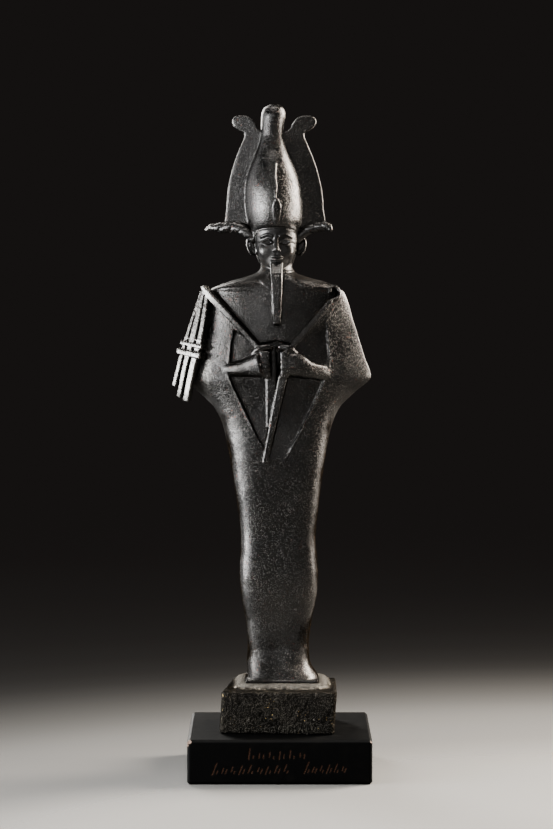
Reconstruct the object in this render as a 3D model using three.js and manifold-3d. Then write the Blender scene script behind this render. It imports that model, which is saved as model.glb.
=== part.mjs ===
// A cast bronze votive figure of a mummiform god: tall crown with two plumes and ram's horns, crook and
// flail held at the chest, legs wrapped in a shroud. It stands on a rough bronze plinth of its own, and
// that on a black painted wooden stand. Millimetres, +Z up, the figure looks along -Y, and the origin is
// the middle of the stand's underside.

import * as THREE from 'three';
import { mergeVertices } from 'three/addons/utils/BufferGeometryUtils.js';
import Module from 'manifold-3d';

const wasm = await Module();
wasm.setup();

// Stand: a wooden block, chamfered round the top and worn round the foot.
const standWidth = 91;
const standDepth = 82;
const standHeight = 22.2;
const standChamfer = 1.3;
const standFootWear = 1.2;
const standCornerRadius = 1.6;

// Plinth: a rough bronze block that narrows to the back, stands a little turned and off the stand's
// middle, and leans to one side.
const plinthHeight = 21.1;
const plinthFrontWidth = 57.4;
const plinthBackWidth = 52;
const plinthDepth = 49;
const plinthCornerRadius = 2;
const plinthEdgeWear = 0.8;
const plinthSetBack = -1.5;
const plinthShift = 0.5;
const plinthTurn = -3.5;
const plinthLean = 1.3;

// Pad: a rounded swelling of the plinth's top, with a socket that the foot slab sits in.
const padHeight = 2.4;
const padSpread = 5;
const socketDepth = 1.2;
const slabClearance = 0.3;

// Figure: its axis stands behind the plinth's middle, and it leans a little sideways.
const figureHeight = 289.9;
const figureSetBack = 6;
const sidewaysLean = 2.8;

// Foot slab: a thin plate cast under the feet.
const slabWidth = 36.1;
const slabThickness = 2.4;
const slabToe = 17;
const slabHeel = 14.8;
const slabCornerRadius = 3;
const slabShift = 1.1;

// Tables of the figure's level sections. They are drawn in millimetres above the plinth's top, from the
// soles in the first row of the body to the top of the crown in its last, and scaled to figureHeight.

// Shrouded body from the foot slab to the neck: [height, half width, front, back, flatness, side, shift].
const bodyTable = [
  [2.4, 18, 16.6, 14.4, 3.4, 3, 1.2],
  [4.7, 17.9, 16.4, 14.3, 3.2, 3, 1.4],
  [6.6, 17.4, 15.4, 14.2, 3.1, 3, 1.1],
  [9.5, 16.4, 13.8, 13.9, 3, 2.9, 0.1],
  [12.9, 15.9, 12, 13.5, 3, 2.8, -0.6],
  [21, 15.4, 9.6, 12.9, 3.4, 2.8, -0.6],
  [33, 16.6, 9.8, 13, 4, 3, -0.2],
  [49, 19.4, 11.4, 13.8, 4.4, 3.1, 0],
  [58, 19.8, 11.8, 13.8, 4.4, 3.1, 0],
  [75, 18.8, 11.7, 12.9, 4.4, 3.1, 0],
  [92, 20.5, 12.4, 13.4, 4.2, 3, 0],
  [107, 22.6, 13, 14.2, 3.8, 2.8, 0],
  [121, 25, 13.3, 14.6, 3.4, 2.5, 0],
  [132, 27.4, 13.2, 14, 3, 2.2, 0],
  [141, 31.6, 13, 13, 2.7, 1.8, 0],
  [149, 39.6, 13.2, 12, 2.3, 1.4, 0],
  [156.5, 47.5, 13.8, 11.4, 1.95, 1.2, 0],
  [166, 44.6, 14, 11.4, 1.85, 1.2, 0],
  [184, 39.1, 13.6, 11.2, 1.8, 1.2, 0],
  [199, 34.3, 11.8, 10.6, 2.1, 1.4, 0],
  [202, 30, 11.1, 10, 2.8, 1.9, 0],
  [204.5, 23.5, 10.3, 9.4, 2.8, 2, 0],
  [206.5, 16, 9.5, 8.9, 2.6, 2, 0],
  [209, 8.6, 8.6, 8.6, 2, 2, 0],
];
const bodyHeights = [
  2.4, 4.7, 6.6, 9.5, 12.9, 21, 33, 41, 49, 58, 66, 75, 92, 107, 114, 121, 127, 132, 137, 141, 145,
  149, 153, 156.5, 161, 168, 176, 184, 192, 199, 202, 204.5, 206.5, 209,
];

// Head: [height, half width, front, back, squareness].
const headTable = [
  [210.6, 3.4, 8.4, 2, 2],
  [212.4, 6, 10, 7, 2.1],
  [215.6, 8.3, 10.7, 10, 2.2],
  [219, 9.6, 10.9, 11.6, 2.2],
  [224, 10.3, 10.9, 12.4, 2.2],
  [229, 11, 11.2, 12.6, 2.2],
  [236, 11.6, 11.8, 12.6, 2.2],
];

// Tall crown, leaning back as it rises: [height, half width, front, back, flatness, side, shift].
const crownTable = [
  [213.5, 9, 9, 11.6, 2, 2, 0.2],
  [220, 10.9, 10.8, 13.2, 2, 2, 0.1],
  [226, 11.4, 11.6, 13.8, 2, 2, 0],
  [230.4, 12.2, 12.3, 14, 1.8, 1.8, -0.2],
  [235, 13.4, 14.2, 14.8, 1.7, 1.75, -0.4],
  [242, 14.2, 15.4, 15.6, 1.7, 1.75, -0.7],
  [249, 14, 14.9, 15.4, 1.72, 1.8, -0.9],
  [256, 12.9, 13, 14.4, 1.82, 1.9, -1.1],
  [265, 9.7, 9.1, 11.6, 2, 2, -1.1],
  [272, 7, 5.6, 9, 2, 2, -1.1],
  [278, 5.7, 3.8, 8, 2, 2, -1.2],
  [283, 5.8, 3.8, 8.6, 2, 2, -0.9],
  [287.5, 6.1, 4, 9.4, 2, 2, -0.4],
  [291, 4.9, 2.6, 8.4, 2, 2, -0.3],
  [293, 1.8, -0.6, 5.2, 2, 2, -0.3],
];
const crownHeights = [
  213.5, 220, 226, 230.4, 235, 239, 243, 247, 252, 256, 261, 265, 269, 273, 278, 283, 287.5, 291, 293,
];

const soleLevel = bodyTable[0][0];
const drawnHeight = crownTable[crownTable.length - 1][0];
const mm = figureHeight / (drawnHeight - soleLevel);
const plinthTop = standHeight + plinthHeight;
const socketFloor = padHeight - socketDepth;
const point = (x, y, z) => new THREE.Vector3(x * mm, y * mm, (z - soleLevel) * mm);
const mirrored = [-1, 1];
const deepest = (table) => 2 * Math.max(...table.map((row) => row[2]));

// Smooth curve through stations [height, value, value, ...]: a value between stations never overshoots.
function profile(stations, column) {
  const z = stations.map((s) => s[0]);
  const v = stations.map((s) => s[column]);
  const rise = z.slice(1).map((top, i) => (v[i + 1] - v[i]) / (top - z[i]));
  const slope = v.map((_, i) => {
    if (i === 0) return rise[0];
    if (i === v.length - 1) return rise[i - 1];
    const [below, above] = [rise[i - 1], rise[i]];
    return below * above <= 0 ? 0 : (2 * below * above) / (below + above);
  });
  return (height) => {
    const h = Math.min(Math.max(height, z[0]), z[z.length - 1]);
    let i = z.findIndex((top, k) => k > 0 && h <= top) - 1;
    i = Math.max(i, 0);
    const span = z[i + 1] - z[i];
    const t = (h - z[i]) / span;
    const u = 1 - t;
    return v[i] * u * u * (1 + 2 * t) + v[i + 1] * t * t * (3 - 2 * t)
      + span * t * u * (slope[i] * u - slope[i + 1] * t);
  };
}

// Closed solid through rings that all have the same number of points.
function loft(rings) {
  const count = rings[0].length;
  const positions = rings.flat().flatMap((p) => [p.x, p.y, p.z]);
  const indices = [];
  for (let r = 0; r + 1 < rings.length; r++) {
    for (let i = 0; i < count; i++) {
      const j = (i + 1) % count;
      const [a, b] = [r * count + i, r * count + j];
      indices.push(a, b, b + count, a, b + count, a + count);
    }
  }
  [0, rings.length - 1].forEach((r, end) => {
    const middle = new THREE.Vector3();
    rings[r].forEach((p) => middle.addScaledVector(p, 1 / count));
    const hub = positions.length / 3;
    positions.push(middle.x, middle.y, middle.z);
    for (let i = 0; i < count; i++) {
      const j = (i + 1) % count;
      indices.push(hub, r * count + (end ? i : j), r * count + (end ? j : i));
    }
  });
  const geometry = new THREE.BufferGeometry();
  geometry.setAttribute('position', new THREE.Float32BufferAttribute(positions, 3));
  geometry.setIndex(indices);
  return solid(geometry);
}

// Signed volume of a closed mesh: negative when its faces point in.
function signedVolume(positions, indices) {
  const [a, b, c] = [new THREE.Vector3(), new THREE.Vector3(), new THREE.Vector3()];
  let six = 0;
  for (let i = 0; i < indices.length; i += 3) {
    a.fromArray(positions, 3 * indices[i]);
    b.fromArray(positions, 3 * indices[i + 1]);
    c.fromArray(positions, 3 * indices[i + 2]);
    six += a.dot(b.cross(c));
  }
  return six / 6;
}

// Geometry to a solid that can be joined and cut.
function solid(geometry) {
  geometry.deleteAttribute('normal');
  geometry.deleteAttribute('uv');
  const merged = mergeVertices(geometry, 1e-5);
  const vertProperties = Float32Array.from(merged.attributes.position.array);
  const triVerts = Uint32Array.from(merged.index.array);
  if (signedVolume(vertProperties, triVerts) < 0) {
    for (let i = 0; i < triVerts.length; i += 3) {
      [triVerts[i], triVerts[i + 1]] = [triVerts[i + 1], triVerts[i]];
    }
  }
  return new wasm.Manifold(new wasm.Mesh({ numProp: 3, vertProperties, triVerts }));
}

const join = (solids) => solids.reduce((whole, next) => whole.add(next));

// Points round a superellipse with half sizes 1. Flatness 2 is an ellipse's face and more is flatter;
// side 2 is an ellipse's edge, more is boxier and less is sharper.
function superellipse(count, flatness, side) {
  return Array.from({ length: count }, (_, i) => {
    const a = (2 * Math.PI * (i + 0.5)) / count;
    const [c, s] = [Math.cos(a), Math.sin(a)];
    return [Math.sign(c) * Math.abs(c) ** (2 / flatness), Math.sign(s) * Math.abs(s) ** (2 / side)];
  });
}

// Ring in a level plane, with its own depth to the front and to the back.
function levelRing(z, halfWidth, front, back, flatness, side, shift, count) {
  return superellipse(count, flatness, side)
    .map(([u, v]) => point(shift + halfWidth * u, (v < 0 ? front : back) * v, z));
}

// Upright form from a table of [height, half width, front depth, back depth, flatness, side, shift].
// Where a table has no side or shift of its own, the side is as the flatness and the shift is none.
function upright(table, heights, count, recess = () => 0) {
  const full = table.map(([z, w, f, b, n, side = n, shift = 0]) => [z, w, f, b, n, side, shift]);
  const [width, front, back, flatness, side, shift] = [1, 2, 3, 4, 5, 6].map((c) => profile(full, c));
  return loft(heights.map((z) => levelRing(
    z, width(z), front(z) - recess(z), back(z), flatness(z), side(z), shift(z), count,
  )));
}

// Ellipsoid about a centre, turned about the Y axis by tilt degrees; n above 2 makes it boxier.
function lump(x, y, z, rx, ry, rz, { tilt = 0, count = 12, levels = 7, n = 2 } = {}) {
  const centre = point(x, y, z);
  const upwards = new THREE.Vector3(0, 1, 0);
  const turn = THREE.MathUtils.degToRad(tilt);
  const poleCut = 0.04;
  return loft(Array.from({ length: levels + 1 }, (_, k) => {
    const a = Math.PI * (poleCut + ((1 - 2 * poleCut) * k) / levels) - Math.PI / 2;
    const waist = Math.cos(a) ** (2 / n);
    const lift = Math.sign(a) * Math.abs(Math.sin(a)) ** (2 / n);
    return superellipse(count, n, n).map(([u, v]) => (
      new THREE.Vector3(rx * waist * u, ry * waist * v, rz * lift)
        .multiplyScalar(mm)
        .applyAxisAngle(upwards, turn)
        .add(centre)
    ));
  }));
}

// Rod through stations [x, y, z, half width, half depth]: its section is an ellipse, or a softened
// rectangle for a larger n. It is turned by some degrees, and spin turns it on from end to end.
function rod(stations, { count = 8, steps = 1, n = 2, turn = 0, spin = 0 } = {}) {
  const places = stations.map(([x, y, z]) => point(x, y, z));
  const curve = new THREE.CatmullRomCurve3(places, false, 'centripetal');
  const total = (stations.length - 1) * steps;
  const rings = [];
  for (let k = 0; k <= total; k++) {
    const t = k / total;
    const i = Math.min(Math.floor(k / steps), stations.length - 2);
    const f = (k - i * steps) / steps;
    const half = [3, 4].map((c) => mm * (stations[i][c] * (1 - f) + stations[i + 1][c] * f));
    const centre = curve.getPoint(t);
    const along = curve.getTangent(t);
    const depth = new THREE.Vector3(0, 1, 0).addScaledVector(along, -along.y).normalize();
    const across = new THREE.Vector3().crossVectors(along, depth);
    const turned = THREE.MathUtils.degToRad(turn + spin * t);
    rings.push(superellipse(count, n, n).map(([u, v]) => centre.clone()
      .addScaledVector(across, half[0] * u * Math.cos(turned) - half[1] * v * Math.sin(turned))
      .addScaledVector(depth, half[0] * u * Math.sin(turned) + half[1] * v * Math.cos(turned))));
  }
  return loft(rings);
}

// Plate with an outline in the XZ plane, from front to back in Y.
function plate(outline, front, back) {
  const corners = outline.map(([x, z]) => point(x, 0, z));
  const shape = new THREE.Shape(corners.map((p) => new THREE.Vector2(p.x, p.z)));
  const geometry = new THREE.ExtrudeGeometry(shape, { depth: (back - front) * mm, bevelEnabled: false });
  geometry.rotateX(Math.PI / 2);
  geometry.translate(0, back * mm, 0);
  return solid(geometry);
}

// Opening of the shroud round the forearms, from under the handles to a point below the hands and up the
// other side: [x, height]. It is cut to its full depth between two levels and runs out above and below.
const opening = [[0, 175.2], [9.5, 173.2], [13, 175.7], [24.4, 188.5], [26.6, 166], [25, 158],
  [19, 144.5], [10.6, 128], [0, 109], [-10.6, 128], [-18.4, 144.8], [-21.8, 151.8], [-24.2, 158],
  [-23.4, 166], [-22.6, 173.2], [-21, 180.5], [-13, 175.7], [-9.5, 173.2]];
const openingDepth = 1.5;
const openingFull = [130, 174];
const openingRunOut = 20;
const openingLeast = 0.4;

function openingDepthAt(z) {
  const past = Math.max(openingFull[0] - z, z - openingFull[1], 0);
  return openingDepth * Math.max(1 - past / openingRunOut, openingLeast);
}

function body() {
  const sides = 28;
  const whole = upright(bodyTable, bodyHeights, sides);
  const under = upright(bodyTable, bodyHeights, sides, openingDepthAt);
  const reach = plate(opening, -deepest(bodyTable), 0);
  return whole.subtract(reach.subtract(under));
}

// Forearms from under the shroud to the backs of the hands, each by its own stations.
const forearmStations = [
  [[-27, -5.2, 160.4, 3.2, 3.2], [-23.2, -8.3, 160.6, 3.4, 3.3], [-18.6, -10.9, 161, 3.9, 3.6],
    [-14.4, -12.6, 161.7, 4.7, 3.8], [-10.8, -14.9, 162.5, 5.5, 3.7], [-8, -16.6, 163.2, 6, 3.4]],
  [[27, -5.6, 159, 4, 3.2], [23.2, -8.7, 159, 4.2, 3.3], [18.1, -11.6, 160, 4.2, 3.7],
    [14.2, -13.2, 161, 4.9, 3.9], [10.2, -14.2, 162.9, 6, 4], [6, -14.6, 163.4, 6.2, 4]],
];

function forearms() {
  return forearmStations.map((stations) => rod(stations, { count: 10, steps: 1 }));
}

// Fists closed round the upright staff: across the chest, where the back of the hand ends and where the
// finger tips lie. Each is a block of fingers with the thumb on top.
const knuckles = [-8.3, 6];
const fingerTips = [-3.4, 2.4];
const fingerOverlap = 0.5;

function fists() {
  return mirrored.flatMap((side, hand) => {
    const [knuckle, tip] = [knuckles[hand], fingerTips[hand]];
    const half = Math.abs(knuckle - tip) / 2 + fingerOverlap;
    const middle = (knuckle + tip) / 2 - 0.2 * side;
    return [
      rod([[middle, -15.4, 158, half, 2.4], [middle, -16, 163, half, 2.7], [middle, -15.6, 168.6, half, 2.5]],
        { n: 3.4, count: 12 }),
      rod([[knuckle + 3 * side, -14.6, 168.8, 1.7, 1.7], [knuckle, -16.2, 171.4, 1.6, 1.6],
        [tip - 0.4 * side, -15.6, 172, 1.4, 1.4]], { count: 6 }),
    ];
  });
}

// Crook and flail: handles over the chest, their lower ends below the fists, the hook on one shoulder
// and three strands, gathered by three bands, on the other.
const handleTurn = -24;

function sceptres() {
  const flailHandle = rod([[-35.6, -4.6, 201.2, 1.2, 2], [-31.9, -6.8, 196.7, 1.9, 2.2],
    [-21.5, -11.2, 186, 1.7, 2.2], [-8.2, -15, 171.3, 1.4, 2]], { n: 4, turn: handleTurn });
  const crookHandle = rod([[27, -8.4, 194.4, 1.2, 2], [21.9, -10.8, 188.2, 1.3, 2], [7, -15, 171.3, 1.3, 2]],
    { n: 4 });
  const hook = rod([[27.4, -8, 195, 1, 1.7], [31.2, -6.2, 196.6, 1, 1.9], [31.6, -5, 199.8, 0.9, 1.9],
    [29.4, -4.6, 202, 0.9, 1.9], [27.2, -5.6, 201, 0.9, 1.8], [27.2, -6.6, 199.2, 0.8, 1.6]], { count: 6 });
  const uprightStaff = rod([[-2.6, -12, 171, 2.6, 2.4], [-2.7, -12.8, 155, 2.7, 2.5],
    [-3.9, -12.8, 132.2, 1.5, 1.7]], { n: 4 });
  const slantingStaff = rod([[3.6, -13.6, 160, 2.3, 2.2], [2.2, -14, 153, 2.2, 2.2],
    [-2.1, -14, 134, 1.7, 1.9], [-6.2, -13.4, 114.2, 1.35, 1.5]], { n: 4 });
  return [flailHandle, crookHandle, hook, uprightStaff, slantingStaff, ...flail()];
}

// Flail: each strand by its places at the shoulder, above the bands, below them, and at its broken end.
// It lies on a web that joins it to the arm, and is turned to face a little outwards.
const flailTurn = -33;
const strands = [
  [[-36.8, -3.6, 198.6, 0.8, 1.6], [-44.1, -4.4, 176.7, 1, 1.8], [-48, -4, 163.3, 1.2, 1.8],
    [-50.8, -2.6, 153, 1.2, 1.6]],
  [[-35.6, -4.6, 199, 1, 1.8], [-41.1, -6.4, 176.7, 1.8, 1.8], [-44.9, -6.2, 163.3, 1.5, 1.8],
    [-48.4, -4.4, 147.6, 1.3, 1.6]],
  [[-33.7, -5.8, 198, 1.1, 1.8], [-37.4, -8.4, 176.7, 1.5, 1.8], [-41.1, -8.2, 163.3, 1.8, 1.8],
    [-45, -6.4, 146, 1.7, 1.6]],
];
const bands = [[-40.6, 175.4, 4.9, 0.5, 2.4], [-41.5, 172.6, 5.5, 1.2, 2.8], [-42.7, 168.3, 5.6, 1.7, 3]];
const bandDrop = 0.16;

function flail() {
  const web = rod([[-35.6, -3, 198, 1.8, 2], [-40.4, -4, 176, 4.2, 2.4], [-43.8, -3.6, 163, 4.6, 2.4],
    [-46.2, -2.6, 150, 3.6, 1.8]], { turn: flailTurn });
  const facing = THREE.MathUtils.degToRad(flailTurn);
  const [along, ahead] = [Math.cos(facing), Math.sin(facing)];
  const rings = bands.map(([x, z, reach, half, depth]) => rod([-1, 1].map((end) => [
    x + end * reach * along, -6 + end * reach * ahead, z - end * reach * bandDrop, half, depth,
  ]), { n: 4 }));
  return [web, ...strands.map((stations) => rod(stations, { n: 4, turn: flailTurn })), ...rings];
}

function head() {
  const skull = upright(headTable, headTable.map((row) => row[0]), 22);
  const neck = rod([[0, 1.2, 200.7, 8.8, 8.2], [0, 1.2, 209, 8, 8.2], [0, 1.4, 216, 7.8, 8.4]],
    { count: 14 });
  const nose = rod([[0, -10.6, 226, 1, 0.8], [0, -12, 221.4, 1.3, 1.4], [0, -12.4, 219.6, 1.9, 1.3]]);
  const small = { count: 8, levels: 3 };
  const lips = [[216.9, 0.7], [215.7, 0.75]].map(([z, half]) => lump(0, -10.9, z, 2.7, 1.1, half, small));
  const eyes = mirrored.map((side) => lump(4.5 * side, -9.7, 224, 2.1, 1.1, 0.95, small));
  const brows = mirrored.map((side) => rod([[1.5 * side, -10.8, 226.8, 0.5, 0.8],
    [4.6 * side, -10.1, 227.2, 0.5, 0.8], [7.8 * side, -7.6, 226, 0.4, 0.7]], { count: 6 }));
  return [skull, neck, nose, ...lips, ...brows, ...eyes, ...ears(), beard()];
}

function ears() {
  return mirrored.map((side) => lump(12.1 * side, 2.3, 221.8, 2.9, 2, 4.8, {
    tilt: 15 * side, count: 10, levels: 5,
  }));
}

// Beard: a long box-shaped case under the chin, turned up at its end.
function beard() {
  return rod([[0, -9.6, 211.4, 3.1, 2.1], [0, -12.8, 206, 3, 2.9], [0, -14.4, 196, 2.5, 3],
    [0, -15.6, 188.4, 2.05, 2.6], [0, -17.6, 184.6, 1.8, 1.9]], { n: 4, count: 10 });
}

// Crown's edge over the face, which is open below it.
const brimOutline = [[-20, 200], [-11.4, 200], [-11.4, 224], [-10.4, 227.4], [-7.6, 230.6], [-4, 231.8],
  [4, 231.8], [7.6, 230.6], [10.4, 227.4], [11.4, 224], [11.4, 200], [20, 200], [20, 198], [-20, 198]];
const brimFaceDepth = 4;

function crown() {
  const bulb = upright(crownTable, crownHeights, 22);
  return bulb.subtract(plate(brimOutline, -deepest(crownTable), brimFaceDepth));
}

// One plume from its foot to its curled tip, on the wearer's left: [x, height]. It sweeps back outwards.
const plumeOutline = [
  [8, 233], [24.4, 233], [24.4, 241], [23.7, 250], [21.9, 258.4], [19.2, 266.8], [16.6, 273], [15, 277],
  [15.4, 278.8], [17.6, 279.8], [19.9, 281.6], [21.1, 284], [20.7, 286], [18.9, 287.2], [15.6, 287.5],
  [12.2, 286.5], [9.4, 283.6], [7.8, 280.6], [4, 278], [4, 240],
];
const plumeFront = -0.6;
const plumeBack = 2.4;
const plumeSweep = 0.16;

function plumes() {
  return mirrored.map((side) => {
    const sweep = new THREE.Matrix4();
    sweep.elements[1] = plumeSweep * side;
    const outline = plumeOutline.map(([x, z]) => [x * side, z]);
    return plate(outline, plumeFront, plumeBack).transform(sweep.elements);
  });
}

// Ram's horns: the section is flattened and twists, so the outline ripples. One has lost its tip.
const hornTwist = 720;

function horns() {
  const whole = [[-11, -1, 226.4, 2.6, 2.2], [-15.6, 0.2, 229.6, 2.9, 2.4], [-19.1, 1.4, 231.2, 2.9, 2.4],
    [-23.6, 3, 231.5, 2.9, 2.2], [-28.5, 4.9, 231.2, 2.6, 1.9], [-32, 6.2, 231.6, 1.7, 1.3],
    [-34.8, 7.2, 230.3, 0.9, 0.8]];
  const short = [[11, -1, 225.6, 2.2, 1.8], [15.6, -1.2, 229.6, 2.4, 1.9], [19.8, -1.6, 231.4, 2.8, 2.1],
    [22.8, -2.4, 232, 2.8, 2.1], [25.8, -4, 232.2, 2.4, 1.8], [27.4, -5.2, 230.4, 1.4, 1.2]];
  return [rod(whole, { steps: 2, spin: hornTwist }), rod(short, { steps: 2, spin: -hornTwist })];
}

// Rearing cobra on the crown's front, its body running up the crown in a slight wave.
function cobra() {
  const tail = rod([[0.7, -10.2, 263, 0.4, 0.7], [0.2, -12.5, 258, 0.5, 0.8], [0.6, -14.4, 252, 0.55, 0.8],
    [0.2, -15.3, 248, 0.55, 0.8], [0.5, -15.6, 244, 0.6, 0.9]], { count: 6 });
  const hood = rod([[0.7, -13.9, 233.6, 1, 1], [0.7, -15.4, 237.6, 1.9, 1.1], [0.7, -16.4, 241.6, 2.4, 1.1],
    [0.7, -16.8, 244.2, 1.6, 1.2]], { count: 8 });
  const snout = lump(0.7, -17.7, 244.9, 1.4, 1.9, 1.3, { count: 8, levels: 3 });
  return [tail, hood, snout];
}

function roundedOutline(width, front, back, radius) {
  const shape = new THREE.Shape();
  const half = width / 2;
  shape.absarc(half - radius, -front + radius, radius, -Math.PI / 2, 0);
  shape.absarc(half - radius, back - radius, radius, 0, Math.PI / 2);
  shape.absarc(-half + radius, back - radius, radius, Math.PI / 2, Math.PI);
  shape.absarc(-half + radius, -front + radius, radius, Math.PI, 1.5 * Math.PI);
  return shape;
}

// Outline of the foot slab, larger all round by a margin.
const slabOutline = (margin) => roundedOutline(
  slabWidth + 2 * margin, slabToe + margin, slabHeel + margin, slabCornerRadius + margin,
);

function slab(margin, thickness, [x, y, z] = [0, 0, 0]) {
  const geometry = new THREE.ExtrudeGeometry(slabOutline(margin), {
    depth: thickness, bevelEnabled: false, curveSegments: 3,
  });
  return solid(geometry.translate(x + slabShift, y, z));
}

// The head and beard stand a little to one side of the body's axis.
const headShift = 0.4;

function figureGeometry() {
  const cast = join([
    slab(0, slabThickness), body(), ...forearms(), ...fists(), ...sceptres(),
    join(head()).translate([headShift * mm, 0, 0]), crown(), ...plumes(), ...horns(), ...cobra(),
  ]);
  const lean = new THREE.Matrix4();
  lean.elements[8] = -sidewaysLean / figureHeight;
  return meshGeometry(cast).applyMatrix4(lean);
}

function meshGeometry(manifold) {
  const mesh = manifold.getMesh();
  const geometry = new THREE.BufferGeometry();
  geometry.setAttribute('position', new THREE.BufferAttribute(mesh.vertProperties.slice(), 3));
  geometry.setIndex(new THREE.BufferAttribute(mesh.triVerts.slice(), 1));
  return geometry;
}

// Level rings from [outline, height] pairs, moved by an offset, as a loft takes them.
const outlineRings = (levels, [x, y, z] = [0, 0, 0]) => levels.map(([shape, height]) => (
  shape.getPoints(3).slice(0, -1).map((p) => new THREE.Vector3(p.x + x, p.y + y, height + z))
));

// Plinth: an outline that narrows to the back, worn edges, and the pad under the figure.
function plinthGeometry() {
  const [front, back] = [plinthFrontWidth / 2, plinthBackWidth / 2];
  const corners = [[-front, -plinthDepth / 2], [front, -plinthDepth / 2], [back, plinthDepth / 2],
    [-back, plinthDepth / 2]].map(([x, y]) => new THREE.Vector2(x, y));
  const shape = new THREE.Shape();
  corners.forEach((corner, i) => {
    const before = corners[(i + 3) % 4].clone().sub(corner).setLength(plinthCornerRadius).add(corner);
    const after = corners[(i + 1) % 4].clone().sub(corner).setLength(plinthCornerRadius).add(corner);
    if (i === 0) shape.moveTo(before.x, before.y);
    else shape.lineTo(before.x, before.y);
    shape.quadraticCurveTo(corner.x, corner.y, after.x, after.y);
  });
  const block = new THREE.ExtrudeGeometry(shape, {
    depth: plinthHeight - 2 * plinthEdgeWear,
    bevelThickness: plinthEdgeWear,
    bevelSize: plinthEdgeWear,
    bevelOffset: -plinthEdgeWear,
    bevelSegments: 2,
    curveSegments: 3,
  });
  block.rotateZ(THREE.MathUtils.degToRad(plinthTurn));
  block.translate(0, plinthSetBack, plinthEdgeWear);
  const lean = new THREE.Matrix4();
  lean.elements[8] = plinthLean / plinthHeight;
  lean.elements[12] = -plinthLean / 2;
  return meshGeometry(solid(block.applyMatrix4(lean)).add(pad()));
}

// Pad: its side swells out from the top in shares of padSpread and padHeight, and runs down into the
// plinth; the socket follows the foot slab.
const padSide = [[1, -0.2], [1, 0], [0.93, 0.3], [0.76, 0.62], [0.52, 0.88], [0.26, 1]];

function pad() {
  const levels = padSide.map(([out, up]) => [slabOutline(out * padSpread), up * padHeight]);
  const [x, y] = [-plinthShift, plinthSetBack + figureSetBack];
  const swelling = loft(outlineRings(levels, [x + slabShift, y, plinthHeight]));
  return swelling.subtract(slab(slabClearance, padHeight, [x, y, plinthHeight + socketFloor]));
}

function standGeometry() {
  const levels = [[standFootWear, 0], [0, standFootWear], [0, standHeight - standChamfer],
    [standChamfer, standHeight]];
  return meshGeometry(loft(outlineRings(levels.map(([inset, z]) => {
    const half = standDepth / 2 - inset;
    return [roundedOutline(standWidth - 2 * inset, half, half, standCornerRadius), z];
  }))));
}

const bronze = new THREE.MeshStandardMaterial({ color: '#3b3630', roughness: 0.38, metalness: 1 });
const roughBronze = new THREE.MeshStandardMaterial({ color: '#2f2920', roughness: 0.62, metalness: 0.85 });
const blackPaint = new THREE.MeshStandardMaterial({ color: '#0d0c0c', roughness: 0.35, metalness: 0 });

function piece(name, geometry, material, [x, y, z]) {
  const mesh = new THREE.Mesh(geometry, material);
  mesh.name = name;
  mesh.position.set(x, y, z);
  return mesh;
}

const group = new THREE.Group();
const figurePlace = [0, plinthSetBack + figureSetBack, plinthTop + socketFloor];
group.add(
  piece('wooden_stand', standGeometry(), blackPaint, [0, 0, 0]),
  piece('bronze_plinth', plinthGeometry(), roughBronze, [plinthShift, 0, standHeight]),
  piece('osiris_figure', figureGeometry(), bronze, figurePlace),
);

export default group;
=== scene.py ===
"""Looks of a cast bronze figure of a mummiform god on its bronze plinth and black painted stand.

Each piece is worked out as a field of signed distances in millimetres, below zero inside the material:
forms are joined to it and cut from it as a sculptor adds and carves, and the surface is then taken from
the field. Dirt in hollows and wear on edges are measured from the same field. Blender itself is in metres.
"""

import math
from dataclasses import dataclass
from typing import Callable

import bpy
import numpy as np
import openvdb
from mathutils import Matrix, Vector


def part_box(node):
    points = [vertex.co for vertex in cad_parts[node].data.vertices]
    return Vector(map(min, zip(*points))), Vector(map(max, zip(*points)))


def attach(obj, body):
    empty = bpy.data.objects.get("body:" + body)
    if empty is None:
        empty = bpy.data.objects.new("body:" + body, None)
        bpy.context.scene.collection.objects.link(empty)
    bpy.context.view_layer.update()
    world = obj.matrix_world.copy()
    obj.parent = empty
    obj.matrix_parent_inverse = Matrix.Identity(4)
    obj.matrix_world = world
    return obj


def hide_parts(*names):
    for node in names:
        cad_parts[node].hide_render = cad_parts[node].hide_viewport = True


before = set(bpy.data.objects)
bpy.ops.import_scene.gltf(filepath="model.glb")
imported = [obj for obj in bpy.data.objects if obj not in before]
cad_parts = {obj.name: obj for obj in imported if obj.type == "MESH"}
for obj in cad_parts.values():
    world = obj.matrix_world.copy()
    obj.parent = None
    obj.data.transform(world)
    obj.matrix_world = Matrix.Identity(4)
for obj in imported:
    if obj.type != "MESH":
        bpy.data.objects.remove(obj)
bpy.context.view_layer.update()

MM = 0.001
FAR = 6.0

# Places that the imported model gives, in millimetres.
stand_low, stand_high = (np.array(corner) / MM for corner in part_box("wooden_stand"))
plinth_low, plinth_high = (np.array(corner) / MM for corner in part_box("bronze_plinth"))
figure_low, figure_high = (np.array(corner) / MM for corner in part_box("osiris_figure"))

# Sizes that repeat the solids' own, in millimetres.
sole_level = 2.4
crown_top = 293.0
figure_back = 4.5
sideways_lean = 2.8
figure_scale = (figure_high[2] - figure_low[2]) / (crown_top - sole_level)
lean = sideways_lean / (crown_top - sole_level)


# Curves and fields


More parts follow.
